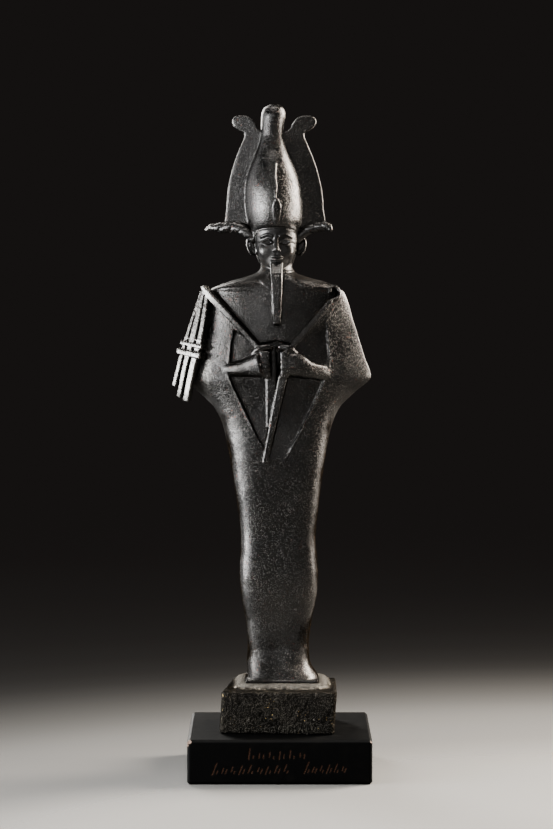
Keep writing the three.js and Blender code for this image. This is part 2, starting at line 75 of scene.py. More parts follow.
def smooth_curve(heights, values):
    """Curve through values at rising heights that never overshoots between two of them."""
    rise = np.diff(values) / np.diff(heights)
    slope = np.concatenate([rise[:1], np.zeros(len(rise) - 1), rise[-1:]])
    below, above = rise[:-1], rise[1:]
    same_way = below * above > 0
    slope[1:-1][same_way] = (2 * below * above)[same_way] / (below + above)[same_way]

    def curve(height):
        h = np.clip(height, heights[0], heights[-1])
        i = np.clip(np.searchsorted(heights, h) - 1, 0, len(rise) - 1)
        span = heights[i + 1] - heights[i]
        t = (h - heights[i]) / span
        u = 1 - t
        smooth = values[i] * u * u * (1 + 2 * t) + values[i + 1] * t * t * (3 - 2 * t)
        return (smooth + span * t * u * (slope[i] * u - slope[i + 1] * t)).astype(np.float32)

    return curve


def smooth_path(stations, steps):
    """Rows on a smooth curve through stations [x, y, z, ...], spaced so that it makes no loops."""
    rows = np.array(stations, float)
    rows = np.vstack([2 * rows[0] - rows[1], rows, 2 * rows[-1] - rows[-2]])
    t = np.arange(steps)[:, None] / steps
    found = []
    for a, b, c, d in zip(rows, rows[1:], rows[2:], rows[3:]):
        k1, k2, k3 = (math.sqrt(np.linalg.norm((q - p)[:3])) for p, q in ((a, b), (b, c), (c, d)))
        leave = k2 * ((b - a) / k1 - (c - a) / (k1 + k2) + (c - b) / k2)
        arrive = k2 * ((c - b) / k2 - (d - b) / (k2 + k3) + (d - c) / k3)
        bend = 3 * (c - b) - 2 * leave - arrive
        turn = 2 * (b - c) + leave + arrive
        found.append(b + leave * t + bend * t**2 + turn * t**3)
    return np.vstack([*found, rows[-2:-1]])


def smooth_outline(corners):
    """Closed outline that runs smoothly through its corners."""
    steps = 4
    rows = np.array([[x, 0, z] for x, z in corners], float)
    ring = np.vstack([rows[-1:], rows, rows[:2]])
    path = smooth_path(ring, steps)
    return path[steps:-steps - 1][:, [0, 2]]


def axis(spans, end):
    """Grid positions along one axis, from spans [start, step] to the end."""
    starts = [start for start, _ in spans] + [end]
    return np.concatenate(
        [np.arange(a, b - step / 4, step) for (a, step), b in zip(spans, starts[1:])] + [[end]]
    ).astype(np.float32)


@dataclass
class Form:
    """A shape or a relief: the corners of the box that it may change, and its distance, or the depth to
    which it is pressed, at points x, y, z."""

    low: tuple
    high: tuple
    distance: Callable


class Field:
    """Signed distances on a grid whose steps may differ along each axis."""

    def __init__(self, x, y, z):
        self.axes = (x, y, z)
        self.value = np.full([len(a) for a in self.axes], FAR, np.float32)

    def moved(self, right):
        """The same field, for forms drawn that far to the left of their place."""
        x, y, z = self.axes
        other = Field(x[:2], y[:2], z[:2])
        other.axes = (x - right, y, z)
        other.value = self.value
        return other

    def whole(self, distance):
        """A form whose box is the whole grid."""
        return Form(*([a[end] for a in self.axes] for end in (0, -1)), distance)

    def window(self, form):
        """The part of the grid in a form's box, and the points there."""
        cut = tuple(
            slice(max(np.searchsorted(a, lo) - 1, 0), np.searchsorted(a, hi) + 1)
            for a, lo, hi in zip(self.axes, form.low, form.high)
        )
        return cut, np.meshgrid(*(a[s] for a, s in zip(self.axes, cut)), indexing="ij", sparse=True)

    def join(self, form, soft=0.3):
        """Joins a form, with a fillet about as wide as soft where it meets what is there."""
        cut, points = self.window(form)
        self.value[cut] = smooth_least(self.value[cut], form.distance(*points), soft)

    def carve(self, form, soft=0.2):
        """Cuts a form away."""
        cut, points = self.window(form)
        self.value[cut] = -smooth_least(-self.value[cut], form.distance(*points), soft)

    def press(self, relief):
        """Sinks the surface by a relief's depth at each point; a depth below zero raises it."""
        cut, points = self.window(relief)
        self.value[cut] += relief.distance(*points)

    def sample(self, points):
        """Distance at free points, read between the grid's own."""
        places = [np.interp(p, a, np.arange(len(a))) for p, a in zip(points.T, self.axes)]
        first = [np.minimum(p.astype(int), len(a) - 2) for p, a in zip(places, self.axes)]
        share = [(p - i).astype(np.float32) for p, i in zip(places, first)]
        return blend_corners(self.value.__getitem__, first, share)

    def slope(self, points):
        """Unit vectors along which the distance grows fastest."""
        reach = 0.25
        steps = np.eye(3) * reach
        found = np.stack([self.sample(points + s) - self.sample(points - s) for s in steps], axis=1)
        return found / np.maximum(np.linalg.norm(found, axis=1, keepdims=True), 1e-6)

    def surface(self):
        """Corners and four-sided faces of the surface where the distance is zero."""
        grid = openvdb.FloatGrid(FAR)
        grid.copyFromArray(np.clip(self.value, -FAR, FAR), tolerance=0)
        places, faces = grid.convertToQuads(isovalue=0)
        points = np.stack(
            [np.interp(p, np.arange(len(a)), a) for p, a in zip(places.T, self.axes)], axis=1
        )
        furthest = 0.2
        for _ in range(2):
            points -= self.slope(points) * np.clip(self.sample(points), -furthest, furthest)[:, None]
        return points, faces


def blend_corners(read, first, share):
    """Value inside grid cells, from what read gives at their corners and the share of the way across."""
    total = 0
    for corner in np.ndindex(2, 2, 2):
        weight = 1
        for side, part in zip(corner, share):
            weight = weight * (part if side else 1 - part)
        total = total + weight * read(tuple(i + side for i, side in zip(first, corner)))
    return total


def smooth_least(a, b, soft):
    """The lesser of two distances, rounded where they cross."""
    if soft <= 0:
        return np.minimum(a, b)
    near = np.maximum(soft - np.abs(a - b), 0) / soft
    return np.minimum(a, b) - near * near * soft / 4


def blend_over(value, start, end):
    """0 before start and 1 after end, with a smooth rise between."""
    t = np.clip((value - start) / (end - start), 0, 1)
    return t * t * (3 - 2 * t)


# Forms


def upright(table, centred=False):
    """Upright form from rows [height, half width, front, back, flatness, side, shift]: how far it reaches
    to the front and the back, how square its section is across and along, and how far it lies to the right.
    A centred one has the same curve in front as behind."""
    margin = 2.0
    rows = np.array([(*row, row[4], 0)[:7] if len(row) == 5 else row for row in table], float)
    heights = rows[:, 0]
    width, front, back, flatness, side, shift = (smooth_curve(heights, c) for c in rows.T[1:])
    reach = rows[:, 1:4].max(0) + margin
    low = (-reach[0] - margin, -reach[1], heights[0] - margin)
    high = (reach[0] + margin, reach[2], heights[-1] + margin)

    def distance(x, y, z):
        ahead, behind, n, m = front(z), back(z), flatness(z), side(z)
        middle = (behind - ahead) / 2 if centred else 0
        depth = (behind + ahead) / 2 if centred else np.where(y < 0, ahead, behind)
        across = np.abs(x - shift(z)) / width(z)
        along = np.abs(y - middle) / depth
        ring = (across**n + along**m) ** (2 / (n + m)) - 1
        steepness = np.sqrt(sum(g * g for g in np.gradient(ring, x.ravel(), y.ravel(), z.ravel())))
        return np.maximum(ring / np.maximum(steepness, 1e-3), np.maximum(z - heights[-1], heights[0] - z))

    return Form(low, high, distance)


def ellipsoid_distance(offsets, n):
    """Distance from a rounded body, from pairs of an offset along an axis and the half size there."""
    shares = [np.abs(offset) / half for offset, half in offsets]
    rho = np.maximum(sum(s**n for s in shares), 1e-6) ** (1 / n)
    steepness = np.sqrt(sum((s ** (n - 1) / half) ** 2 for s, (_, half) in zip(shares, offsets)))
    return (rho - 1) * rho ** (n - 1) / np.maximum(steepness, 1e-4)


def lump(x0, y0, z0, rx, ry, rz, tilt=0, margin=1.5):
    """Ellipsoid about a centre, turned about the front-to-back axis by tilt degrees."""
    turn = math.radians(tilt)
    c, s = math.cos(turn), math.sin(turn)
    reach = np.array([math.hypot(rx * c, rz * s), ry, math.hypot(rx * s, rz * c)]) + margin
    centre = np.array([x0, y0, z0])

    def distance(x, y, z):
        u = (x - x0) * c - (z - z0) * s
        w = (x - x0) * s + (z - z0) * c
        return ellipsoid_distance([(u, rx), (y - y0, ry), (w, rz)], 2.0)

    return Form(tuple(centre - reach), tuple(centre + reach), distance)


def rod(stations, n=2.0, steps=6, turn=0, spin=0, end=1.0):
    """Rod through stations [x, y, z, half width, half depth]. Its section grows squarer with n and is
    turned by some degrees, and by spin more from end to end; its ends are rounded over a share of its
    half width."""
    margin = 1.5
    path = smooth_path(stations, steps)
    reach = path[:, 3:].max() + margin
    count = len(path) - 1

    def distance(x, y, z):
        total = np.full(np.broadcast_shapes(x.shape, y.shape, z.shape), FAR, np.float32)
        for i, (a, b) in enumerate(zip(path, path[1:])):
            low, high = np.minimum(a, b)[:3] - reach, np.maximum(a, b)[:3] + reach
            cut = tuple(
                slice(np.searchsorted(p.ravel(), lo), np.searchsorted(p.ravel(), hi))
                for p, lo, hi in zip((x, y, z), low, high)
            )
            px, py, pz = (p - o for p, o in zip((x[cut[0]], y[:, cut[1]], z[:, :, cut[2]]), a))
            step = (b - a)[:3]
            length = np.linalg.norm(step)
            along = step / length
            turned = math.radians(turn + spin * (i + 0.5) / count)
            depth = np.array([0, 1, 0]) - along * along[1]
            depth /= np.linalg.norm(depth)
            across = np.cross(along, depth)
            across, depth = (
                across * math.cos(turned) + depth * math.sin(turned),
                depth * math.cos(turned) - across * math.sin(turned),
            )
            run = px * along[0] + py * along[1] + pz * along[2]
            t = np.clip(run / length, 0, 1)
            half_width, half_depth = (a[k] + (b[k] - a[k]) * t for k in (3, 4))
            cap = end * np.minimum(half_width, half_depth)
            piece = ellipsoid_distance([
                (px * across[0] + py * across[1] + pz * across[2], half_width),
                (px * depth[0] + py * depth[1] + pz * depth[2], half_depth),
                (run - t * length, cap),
            ], n)
            total[cut] = np.minimum(total[cut], piece)
        return total

    return Form(tuple(path[:, :3].min(0) - reach), tuple(path[:, :3].max(0) + reach), distance)


def gap_to_leg(a, b, x, z):
    """Distance in the x-z plane to a straight leg, and how far along it the nearest place is, 0 to 1."""
    (ax, az), (ex, ez) = a, (b[0] - a[0], b[1] - a[1])
    t = np.clip(((x - ax) * ex + (z - az) * ez) / (ex * ex + ez * ez), 0, 1)
    return np.hypot(x - ax - t * ex, z - az - t * ez), t


def outline_distance(outline, x, z):
    """Signed distance in the x-z plane to a closed outline, below zero inside."""
    best = np.full(np.broadcast_shapes(x.shape, z.shape), 1e3, np.float32)
    inside = np.zeros(best.shape, bool)
    for a, b in zip(outline, np.roll(outline, -1, axis=0)):
        best = np.minimum(best, gap_to_leg(a, b, x, z)[0])
        if b[1] != a[1]:
            crossing = (b[0] - a[0]) * (z - a[1]) / (b[1] - a[1]) + a[0]
            inside ^= ((a[1] > z) != (b[1] > z)) & (x < crossing)
    return np.where(inside, -best, best)


def line_distance(line, x, z):
    """Distance in the x-z plane to an open line, and how far along it the nearest place is, 0 to 1."""
    best = np.full(np.broadcast_shapes(x.shape, z.shape), 1e3, np.float32)
    where = np.zeros(best.shape, np.float32)
    for i, (a, b) in enumerate(zip(line, line[1:])):
        gap, t = gap_to_leg(a, b, x, z)
        nearer = gap < best
        best = np.where(nearer, gap, best)
        where = np.where(nearer, (i + t) / (len(line) - 1), where)
    return best, where


def plate(outline, front, back, sweep, rounding):
    """Plate with an outline in the x-z plane, between two depths, with rounded edges. Sweep is how much
    further back it lies for each millimetre to the right."""
    margin = 1.5
    outline = np.array(outline, float)
    swept = sweep * outline[:, 0]
    low = (outline[:, 0].min() - margin, front + swept.min() - margin, outline[:, 1].min() - margin)
    high = (outline[:, 0].max() + margin, back + swept.max() + margin, outline[:, 1].max() + margin)

    def distance(x, y, z):
        flat = outline_distance(outline, x, z) + rounding
        thick = np.abs(y - sweep * x - (front + back) / 2) - (back - front) / 2 + rounding
        outside = np.hypot(np.maximum(flat, 0), np.maximum(thick, 0))
        return outside + np.minimum(np.maximum(flat, thick), 0) - rounding

    return Form(low, high, distance)


def groove(front, back, line, width, depth, fade=0.0, curved=True):
    """Relief of a groove along a line [x, height] in what lies between two places front to back; with a
    depth below zero it is a ridge. Its ends fade out over a share of its length."""
    rows = [[x, 0, z] for x, z in line]
    path = smooth_path(rows, 6)[:, [0, 2]] if curved else np.array(line, float)

    def pressed(x, y, z):
        gap, where = line_distance(path, x, z)
        ends = blend_over(where, 0, fade) * blend_over(1 - where, 0, fade) if fade else 1
        return depth * np.exp(-((gap / width) ** 2)) * ends

    (left, foot), (right, head) = path.min(0) - 3 * width, path.max(0) + 3 * width
    return Form((left, front, foot), (right, back, head), pressed)


# The figure. Its tables are in millimetres above the plinth's top: x to the viewer's right, y to the
# back, with the soles at sole_level and the crown's top at crown_top.

sides = (-1, 1)

# Shrouded body: [height, half width, front, back, flatness, side, shift].
body_table = [
    (2.4, 18, 16.6, 14.4, 3.4, 3, 1.2),
    (4.7, 17.9, 16.4, 14.3, 3.2, 3, 1.4),
    (6.6, 17.4, 15.4, 14.2, 3.1, 3, 1.1),
    (9.5, 16.4, 13.8, 13.9, 3, 2.9, 0.1),
    (12.9, 15.9, 12, 13.5, 3, 2.8, -0.6),
    (21, 15.4, 9.6, 12.9, 3.4, 2.8, -0.6),
    (33, 16.6, 9.8, 13, 4, 3, -0.2),
    (49, 19.4, 11.4, 13.8, 4.4, 3.1, 0),
    (58, 19.8, 11.8, 13.8, 4.4, 3.1, 0),
    (75, 18.8, 11.7, 12.9, 4.4, 3.1, 0),
    (92, 20.5, 12.4, 13.4, 4.2, 3, 0),
    (107, 22.6, 13, 14.2, 3.8, 2.8, 0),
    (121, 25, 13.3, 14.6, 3.4, 2.5, 0),
    (132, 27.4, 13.2, 14, 3, 2.2, 0),
    (141, 31.6, 13, 13, 2.7, 1.8, 0),
    (149, 39.6, 13.2, 12, 2.3, 1.4, 0),
    (156.5, 47.5, 13.8, 11.4, 1.95, 1.2, 0),
    (166, 44.6, 14, 11.4, 1.85, 1.2, 0),
    (184, 39.1, 13.6, 11.2, 1.8, 1.2, 0),
    (199, 34.3, 11.8, 10.6, 2.1, 1.4, 0),
    (202, 30, 11.1, 10, 2.8, 1.9, 0),
    (204.5, 23.5, 10.3, 9.4, 2.8, 2, 0),
    (206.5, 16, 9.5, 8.9, 2.6, 2, 0),
    (209, 8.6, 8.6, 8.6, 2, 2, 0),
]

# Head: [height, half width, front, back, squareness].
head_table = [
    (210.6, 3.4, 8.4, 2, 2),
    (212.4, 6, 10, 7, 2.1),
    (215.6, 8.3, 10.7, 10, 2.2),
    (219, 9.6, 10.9, 11.6, 2.2),
    (224, 10.3, 10.9, 12.4, 2.2),
    (229, 11, 11.2, 12.6, 2.2),
    (236, 11.6, 11.8, 12.6, 2.2),
]
head_shift = 0.4

# Tall crown, leaning back as it rises: [height, half width, front, back, flatness, side, shift].
crown_table = [
    (213.5, 9, 9, 11.6, 2, 2, 0.2),
    (220, 10.9, 10.8, 13.2, 2, 2, 0.1),
    (226, 11.4, 11.6, 13.8, 2, 2, 0),
    (230.4, 12.2, 12.3, 14, 1.8, 1.8, -0.2),
    (235, 13.4, 14.2, 14.8, 1.7, 1.75, -0.4),
    (242, 14.2, 15.4, 15.6, 1.7, 1.75, -0.7),
    (249, 14, 14.9, 15.4, 1.72, 1.8, -0.9),
    (256, 12.9, 13, 14.4, 1.82, 1.9, -1.1),
    (265, 9.7, 9.1, 11.6, 2, 2, -1.1),
    (272, 7, 5.6, 9, 2, 2, -1.1),
    (278, 5.7, 3.8, 8, 2, 2, -1.2),
    (283, 5.8, 3.8, 8.6, 2, 2, -0.9),
    (287.5, 6.1, 4, 9.4, 2, 2, -0.4),
    (291, 4.9, 2.6, 8.4, 2, 2, -0.3),
    (293, 1.8, -0.6, 5.2, 2, 2, -0.3),
]

# Opening of the shroud round the forearms, from the top round the positive side to the bottom and up the
# other side: [x, height]. It is sunk to its full depth between two levels and runs out above and below.
opening = [(0, 175.2), (9.5, 173.2), (13, 175.7), (24.4, 188.5), (26.6, 166), (25, 158), (19, 144.5),
           (10.6, 128), (0, 109), (-10.6, 128), (-18.4, 144.8), (-21.8, 151.8), (-24.2, 158), (-23.4, 166),
           (-22.6, 173.2), (-21, 180.5), (-13, 175.7), (-9.5, 173.2)]
opening_hems = (opening[3:9], opening[8:16])
opening_depth = 1.6
opening_foot = (112, 138)
opening_head = (176, 188)
opening_box = ((-30, -30, 105), (30, 0, 190))

# Foot slab: half width, toe, heel, thickness and shift.
slab_half_width = 18.05
slab_toe = 17
slab_heel = 14.8
slab_thickness = 2.4
slab_shift = 1.1


def carve_body(field):
    """The body, the foot slab under it, and the shroud's opening with its raised hem."""
    field.join(upright(body_table), soft=0)
    half = slab_thickness / 2
    field.join(Form(
        (slab_shift - slab_half_width - 1, -slab_toe - 1, sole_level - 1),
        (slab_shift + slab_half_width + 1, slab_heel + 1, sole_level + slab_thickness + 1),
        lambda x, y, z: np.maximum(
            np.maximum(np.abs(x - slab_shift) - slab_half_width, np.abs(z - sole_level - half) - half),
            np.maximum(-slab_toe - y, y - slab_heel),
        ),
    ), soft=0.2)
    outline = np.array(opening, float)

    def recess(x, y, z):
        inside = -outline_distance(outline, x, z)
        start, end = opening_head
        fade = blend_over(z, *opening_foot) * blend_over(end - z, 0, end - start)
        return opening_depth * fade * blend_over(inside, -0.3, 0.5)

    field.press(Form(*opening_box, recess))
    (_, front, _), (_, back, _) = opening_box
    for line in opening_hems:
        field.press(groove(front, back, line, 0.7, -0.5, fade=0.3, curved=False))


# Arms from under the hem to the knuckles: [x, y, z, half height, half depth].
forearms = (
    ((-27, -5.2, 160.4, 3.2, 3.2), (-23.2, -8.3, 160.6, 3.4, 3.3), (-18.6, -10.9, 161, 3.9, 3.6),
     (-14.4, -12.6, 161.7, 4.7, 3.8), (-10.8, -14.9, 162.5, 5.5, 3.7), (-8, -16.6, 163.2, 6, 3.4)),
    ((27, -5.6, 159, 4, 3.2), (23.2, -8.7, 159, 4.2, 3.3), (18.1, -11.6, 160, 4.2, 3.7),
     (14.2, -13.2, 161, 4.9, 3.9), (10.2, -14.2, 162.9, 6, 4), (6, -14.6, 163.4, 6.2, 4)),
)

# Fists: the places across the chest where the back of the hand ends and where the finger tips lie.
fists = ((-8.3, -3.4), (6, 2.4))
finger_grooves = (160.4, 163.2, 166)


def carve_hands(field):
    """Forearms, and on each a fist with its finger grooves and the thumb across the handle."""
    for arm in forearms:
        field.join(rod(arm, n=2.4, end=0.5), soft=0.6)
    for knuckle, tip in fists:
        side = math.copysign(1, knuckle)
        half = abs(knuckle - tip) / 2 + 0.5
        middle = (knuckle + tip) / 2 - 0.2 * side
        field.join(rod([(middle, -15.4, 158, half, 2.4), (middle, -16, 163, half, 2.7),
                        (middle, -15.6, 168.6, half, 2.5)], n=3.4, end=0.6), soft=0.5)
        for level in finger_grooves:
            line = [(knuckle - 0.4 * side, level), (tip - 0.6 * side, level)]
            field.press(groove(-20, -14, line, 0.35, 0.22, curved=False))
        field.join(rod([
            (knuckle + 3 * side, -14.6, 168.8, 1.7, 1.7),
            (knuckle, -16.2, 171.4, 1.6, 1.6),
            (tip - 0.4 * side, -15.6, 172, 1.4, 1.4),
        ]), soft=0.5)


# Short creases of the shroud on either side of the neck: [x, height].
neck_creases = (((-8.8, 204.9), (-6.4, 202.6), (-4.7, 201.3)), ((10, 205.1), (12, 202.6), (14.5, 200.2)))


def carve_neckline(field):
    for line in neck_creases:
        field.press(groove(-14, -4, line, 0.5, 0.4))


def carve_sceptres(field):
    """The two staffs below the fists, then the two handles up to the shoulders."""
    field.join(rod([(-2.6, -12, 171, 2.6, 2.4), (-2.7, -12.8, 155, 2.7, 2.5),
                    (-3.9, -12.8, 132.2, 1.5, 1.7)], n=5, end=0.4), soft=0.2)
    field.join(rod([(3.6, -13.6, 160, 2.3, 2.2), (2.2, -14, 153, 2.2, 2.2), (-2.1, -14, 134, 1.7, 1.9),
                    (-6.2, -13.4, 114.2, 1.35, 1.5)], n=5, end=0.3), soft=0.2)
    field.join(rod([(-35.6, -4.6, 201.2, 1.2, 2), (-31.9, -6.8, 196.7, 1.9, 2.2),
                    (-21.5, -11.2, 186, 1.7, 2.2), (-8.2, -15, 171.3, 1.4, 2)], n=5, turn=-24), soft=0.15)
    field.join(rod([(27, -8.4, 194.4, 1.2, 2), (21.9, -10.8, 188.2, 1.3, 2),
                    (7, -15, 171.3, 1.3, 2)], n=5, end=0.4), soft=0.15)


def carve_hook(field):
    """The crook's head, worn down to a lump on the shoulder."""
    field.join(rod([(27.4, -8, 195, 1, 1.7), (31.2, -6.2, 196.6, 1, 1.9), (31.6, -5, 199.8, 0.9, 1.9),
                    (29.4, -4.6, 202, 0.9, 1.9), (27.2, -5.6, 201, 0.9, 1.8),
                    (27.2, -6.6, 199.2, 0.8, 1.6)]), soft=0.4)


# Flail: each strand by its places at the shoulder, above and below the bands, and at its broken end. It
# lies on a web that joins it to the arm, and is turned to face a little outwards.
flail_turn = -33
flail_web = ((-35.6, -3, 198, 1.8, 2), (-40.4, -4, 176, 4.2, 2.4), (-43.8, -3.6, 163, 4.6, 2.4),
             (-46.2, -2.6, 150, 3.6, 1.8))
strands = (
    ((-36.8, -3.6, 198.6, 0.8, 1.6), (-44.1, -4.4, 176.7, 1, 1.8), (-48, -4, 163.3, 1.2, 1.8),
     (-50.8, -2.6, 153, 1.2, 1.6)),
    ((-35.6, -4.6, 199, 1, 1.8), (-41.1, -6.4, 176.7, 1.8, 1.8), (-44.9, -6.2, 163.3, 1.5, 1.8),
     (-48.4, -4.4, 147.6, 1.3, 1.6)),
    ((-33.7, -5.8, 198, 1.1, 1.8), (-37.4, -8.4, 176.7, 1.5, 1.8), (-41.1, -8.2, 163.3, 1.8, 1.8),
     (-45, -6.4, 146, 1.7, 1.6)),
)
bands = ((-40.6, 175.4, 4.9, 0.5, 2.4), (-41.5, 172.6, 5.5, 1.2, 2.8), (-42.7, 168.3, 5.6, 1.7, 3))
band_drop = 0.16


def carve_flail(field):
    """The web, the strands on it and the bands that tie them."""
    field.join(rod(flail_web, turn=flail_turn), soft=0.5)
    for stations in strands:
        field.join(rod(stations, n=6, turn=flail_turn), soft=0.1)
    along, ahead = math.cos(math.radians(flail_turn)), math.sin(math.radians(flail_turn))
    for x, level, reach, half, depth in bands:
        field.join(rod([
            (x + end * reach * along, -6 + end * reach * ahead, level - end * reach * band_drop, half, depth)
            for end in (-1, 1)
        ], n=5), soft=0.15)


def carve_head(field):
    """Neck, head, face and ears."""
    field.join(rod([(0, 1.2, 200.7, 8.8, 8.2), (0, 1.2, 209, 8, 8.2), (0, 1.4, 216, 7.8, 8.4)]), soft=3.5)
    field.join(upright(head_table), soft=0.8)
    carve_face(field)
    carve_ears(field)


# Levels of the face, by common proportions: the eyes halfway down the head, the nose and the mouth below.
brow_level = 227.4
eye_level = 224.2
nose_level = 219.9
mouth_level = 216.3
chin_level = 212.4


def carve_face(field):
    def sockets(x, y, z):
        """A shallow hollow about each eye, wider than high."""
        across = (np.abs(x) - 4.5) / 2.9
        up = (z - eye_level - 0.5) / 1.9
        return 0.75 * np.exp(-across**2 - up**2)

    def line(points, width, depth, back=-3, **options):
        field.press(groove(-16, back, points, width, depth, **options))

    def arch(half, middle):
        """Stations from one side to the other that are the same on both."""
        return [*half, middle, *((-x, *rest) for x, *rest in reversed(half))]

    field.press(Form((-10, -16, 211), (10, -3, 231), sockets))
    # On each side the cheek, the eyeball, the brow, the two lids and the line drawn out to the temple.
    for side in sides:
        inner, outer = (1.9 * side, eye_level - 0.2), (7 * side, eye_level + 0.1)
        field.join(lump(5.4 * side, -7.9, 219.8, 3, 2.4, 3.2), soft=2)
        field.join(lump(4.4 * side, -9.4, eye_level, 2.5, 1.8, 1.45), soft=0.15)
        line([(1.2 * side, brow_level - 0.7), (4.4 * side, brow_level + 0.5), (8.4 * side, brow_level - 1.1)],
             0.55, -0.55, fade=0.1)
        line([inner, (4.3 * side, eye_level + 1.35), outer], 0.45, -0.7)
        line([inner, (4.3 * side, eye_level - 1.15), outer], 0.4, -0.5)
        line([outer, (9.6 * side, eye_level - 0.1)], 0.4, -0.4, back=-2)
    # The nose with its wings and nostrils.
    field.join(rod([(0, -10.2, brow_level, 1, 0.9), (0, -11.5, 223.6, 1.1, 1.2),
                    (0, -12.6, 220.7, 1.45, 1.5)]), soft=0.6)
    for side in sides:
        field.join(lump(1.35 * side, -11.9, nose_level, 0.95, 1.1, 0.85), soft=0.3)
        field.carve(lump(0.85 * side, -12.3, nose_level - 0.9, 0.42, 0.6, 0.5), soft=0.1)
    # Lips, with the line between them and the dents above and below, and the chin.
    line([(0, nose_level - 1), (0, mouth_level + 1)], 0.4, 0.15, curved=False)
    upper = arch([(-3.1, -10.2, mouth_level + 0.3, 0.35, 0.7), (-1.1, -11.3, mouth_level + 0.8, 0.65, 0.9)],
                 (0, -11.5, mouth_level + 0.7, 0.6, 0.9))
    lower = arch([(-2.7, -10.2, mouth_level - 0.35, 0.35, 0.7)], (0, -11.4, mouth_level - 0.8, 0.75, 0.95))
    for lip in (upper, lower):
        field.join(rod(lip), soft=0.2)
    line(arch([(-3.1, mouth_level + 0.2)], (0, mouth_level - 0.05)), 0.3, 0.3)
    line([(-2, mouth_level - 1.9), (2, mouth_level - 1.9)], 0.6, 0.25, curved=False)
    field.join(lump(0, -9.4, chin_level + 0.2, 2.9, 1.7, 1.7), soft=1)


def carve_ears(field):
    """Each ear is a tilted shell with a raised rim and a hollow."""
    for side in sides:
        tilt = 15 * side
        turn = math.radians(tilt)
        field.join(lump(12.1 * side, 2.2, 221.8, 2.6, 1.6, 4.7, tilt=tilt), soft=0.4)
        rim = []
        for degrees in range(-60, 241, 30):
            u = 2.2 * math.cos(math.radians(degrees)) * side
            w = 4.5 * math.sin(math.radians(degrees))
            rim.append((
                12.3 * side + u * math.cos(turn) + w * math.sin(turn), 0.9,
                221.8 - u * math.sin(turn) + w * math.cos(turn), 0.5, 0.7,
            ))
        field.join(rod(rim, steps=3), soft=0.25)
        field.carve(lump(12.2 * side, 0.1, 222.3, 1, 0.7, 2.4, tilt=tilt), soft=0.4)


def carve_beard(field):
    """A long box-shaped case under the chin, turned up at its end."""
    field.join(rod([(0, -9.6, 211.4, 3.1, 2.1), (0, -12.8, 206, 3, 2.9), (0, -14.4, 196, 2.5, 3),
                    (0, -15.6, 188.4, 2.05, 2.6), (0, -17.6, 184.6, 1.8, 1.9)], n=6), soft=0.25)


# The crown's edge over the face, which is open below it: [x, height].
brim = ((-11.4, 214), (-11.4, 224), (-10.4, 227.4), (-7.6, 230.6), (-4, 231.8), (4, 231.8), (7.6, 230.6),
        (10.4, 227.4), (11.4, 224), (11.4, 214))


def carve_crown(field):
    """The crown, open over the face, and its knob."""
    bulb = upright(crown_table, centred=True)
    outline = np.array([(-40, 190), (-40, 214), *brim, (40, 214), (40, 190)], float)

    def cut_bulb(x, y, z):
        below = outline_distance(outline, x, z)
        return np.maximum(bulb.distance(x, y, z), -np.maximum(below, y - 4))

    field.join(Form(bulb.low, bulb.high, cut_bulb), soft=0.15)
    field.join(lump(0, 3, 289, 5.3, 5.6, 4, margin=1), soft=1)


# One plume from its foot to its curled tip: [x, height].
plume_outline = (
    (8, 232), (24.4, 232), (24.4, 241), (23.7, 250), (21.9, 258.4), (19.2, 266.8), (16.6, 273), (15, 277),
    (15.4, 278.8), (17.6, 279.8), (19.9, 281.6), (21.1, 284), (20.7, 286), (18.9, 287.2), (15.6, 287.5),
    (12.2, 286.5), (9.4, 283.6), (7.8, 280.6), (4, 278), (4, 240),
)


def carve_plumes(field):
    for side in sides:
        outline = smooth_outline([(x * side, z) for x, z in plume_outline])
        field.join(plate(outline, -0.6, 2.4, sweep=0.16 * side, rounding=0.7), soft=0.5)


def carve_horns(field):
    """Ram's horns: a flattened section that twists, so that the outline ripples."""
    field.join(rod([(-11, -1, 226.4, 2.6, 2.2), (-15.6, 0.2, 229.6, 2.9, 2.4), (-19.1, 1.4, 231.2, 2.9, 2.4),
                    (-23.6, 3, 231.5, 2.9, 2.2), (-28.5, 4.9, 231.2, 2.6, 1.9),
                    (-32, 6.2, 231.6, 1.7, 1.3), (-34.8, 7.2, 230.3, 0.9, 0.8)],
                   n=2.6, steps=10, spin=900), soft=0.4)
    field.join(rod([(11, -1, 225.6, 2.2, 1.8), (15.6, -1.2, 229.6, 2.4, 1.9), (19.8, -1.6, 231.4, 2.8, 2.1),
                    (22.8, -2.4, 232, 2.8, 2.1), (25.8, -4, 232.2, 2.4, 1.8),
                    (27.4, -5.2, 230.4, 1.4, 1.2)], n=2.6, steps=10, spin=-800), soft=0.4)


# Seam between crown and brow: [x, height] from one temple to the other.
crown_seam = [(-12, 226.6), (-10.4, 229.4), (-6, 230.8), (0, 231.3), (6, 231), (10.4, 229), (12.3, 225.6)]


def carve_cobra(field):
    """Rearing on the crown's front, its body running up the crown in a slight wave, over the seam."""
    field.join(rod([(0.7, -10.2, 263, 0.4, 0.7), (0.2, -12.5, 258, 0.5, 0.8), (0.6, -14.4, 252, 0.55, 0.8),
                    (0.2, -15.3, 248, 0.55, 0.8), (0.5, -15.6, 244, 0.6, 0.9)]), soft=0.1)
    field.join(rod([(0.7, -13.9, 233.6, 1, 1), (0.7, -15.4, 237.6, 1.9, 1.1), (0.7, -16.4, 241.6, 2.4, 1.1),
                    (0.7, -16.8, 244.2, 1.6, 1.2)], n=2.6), soft=0.15)
    field.join(lump(0.7, -17.7, 244.9, 1.4, 1.9, 1.3), soft=0.3)
    field.press(groove(-18, -4, crown_seam, 0.6, 0.4, fade=0.2))


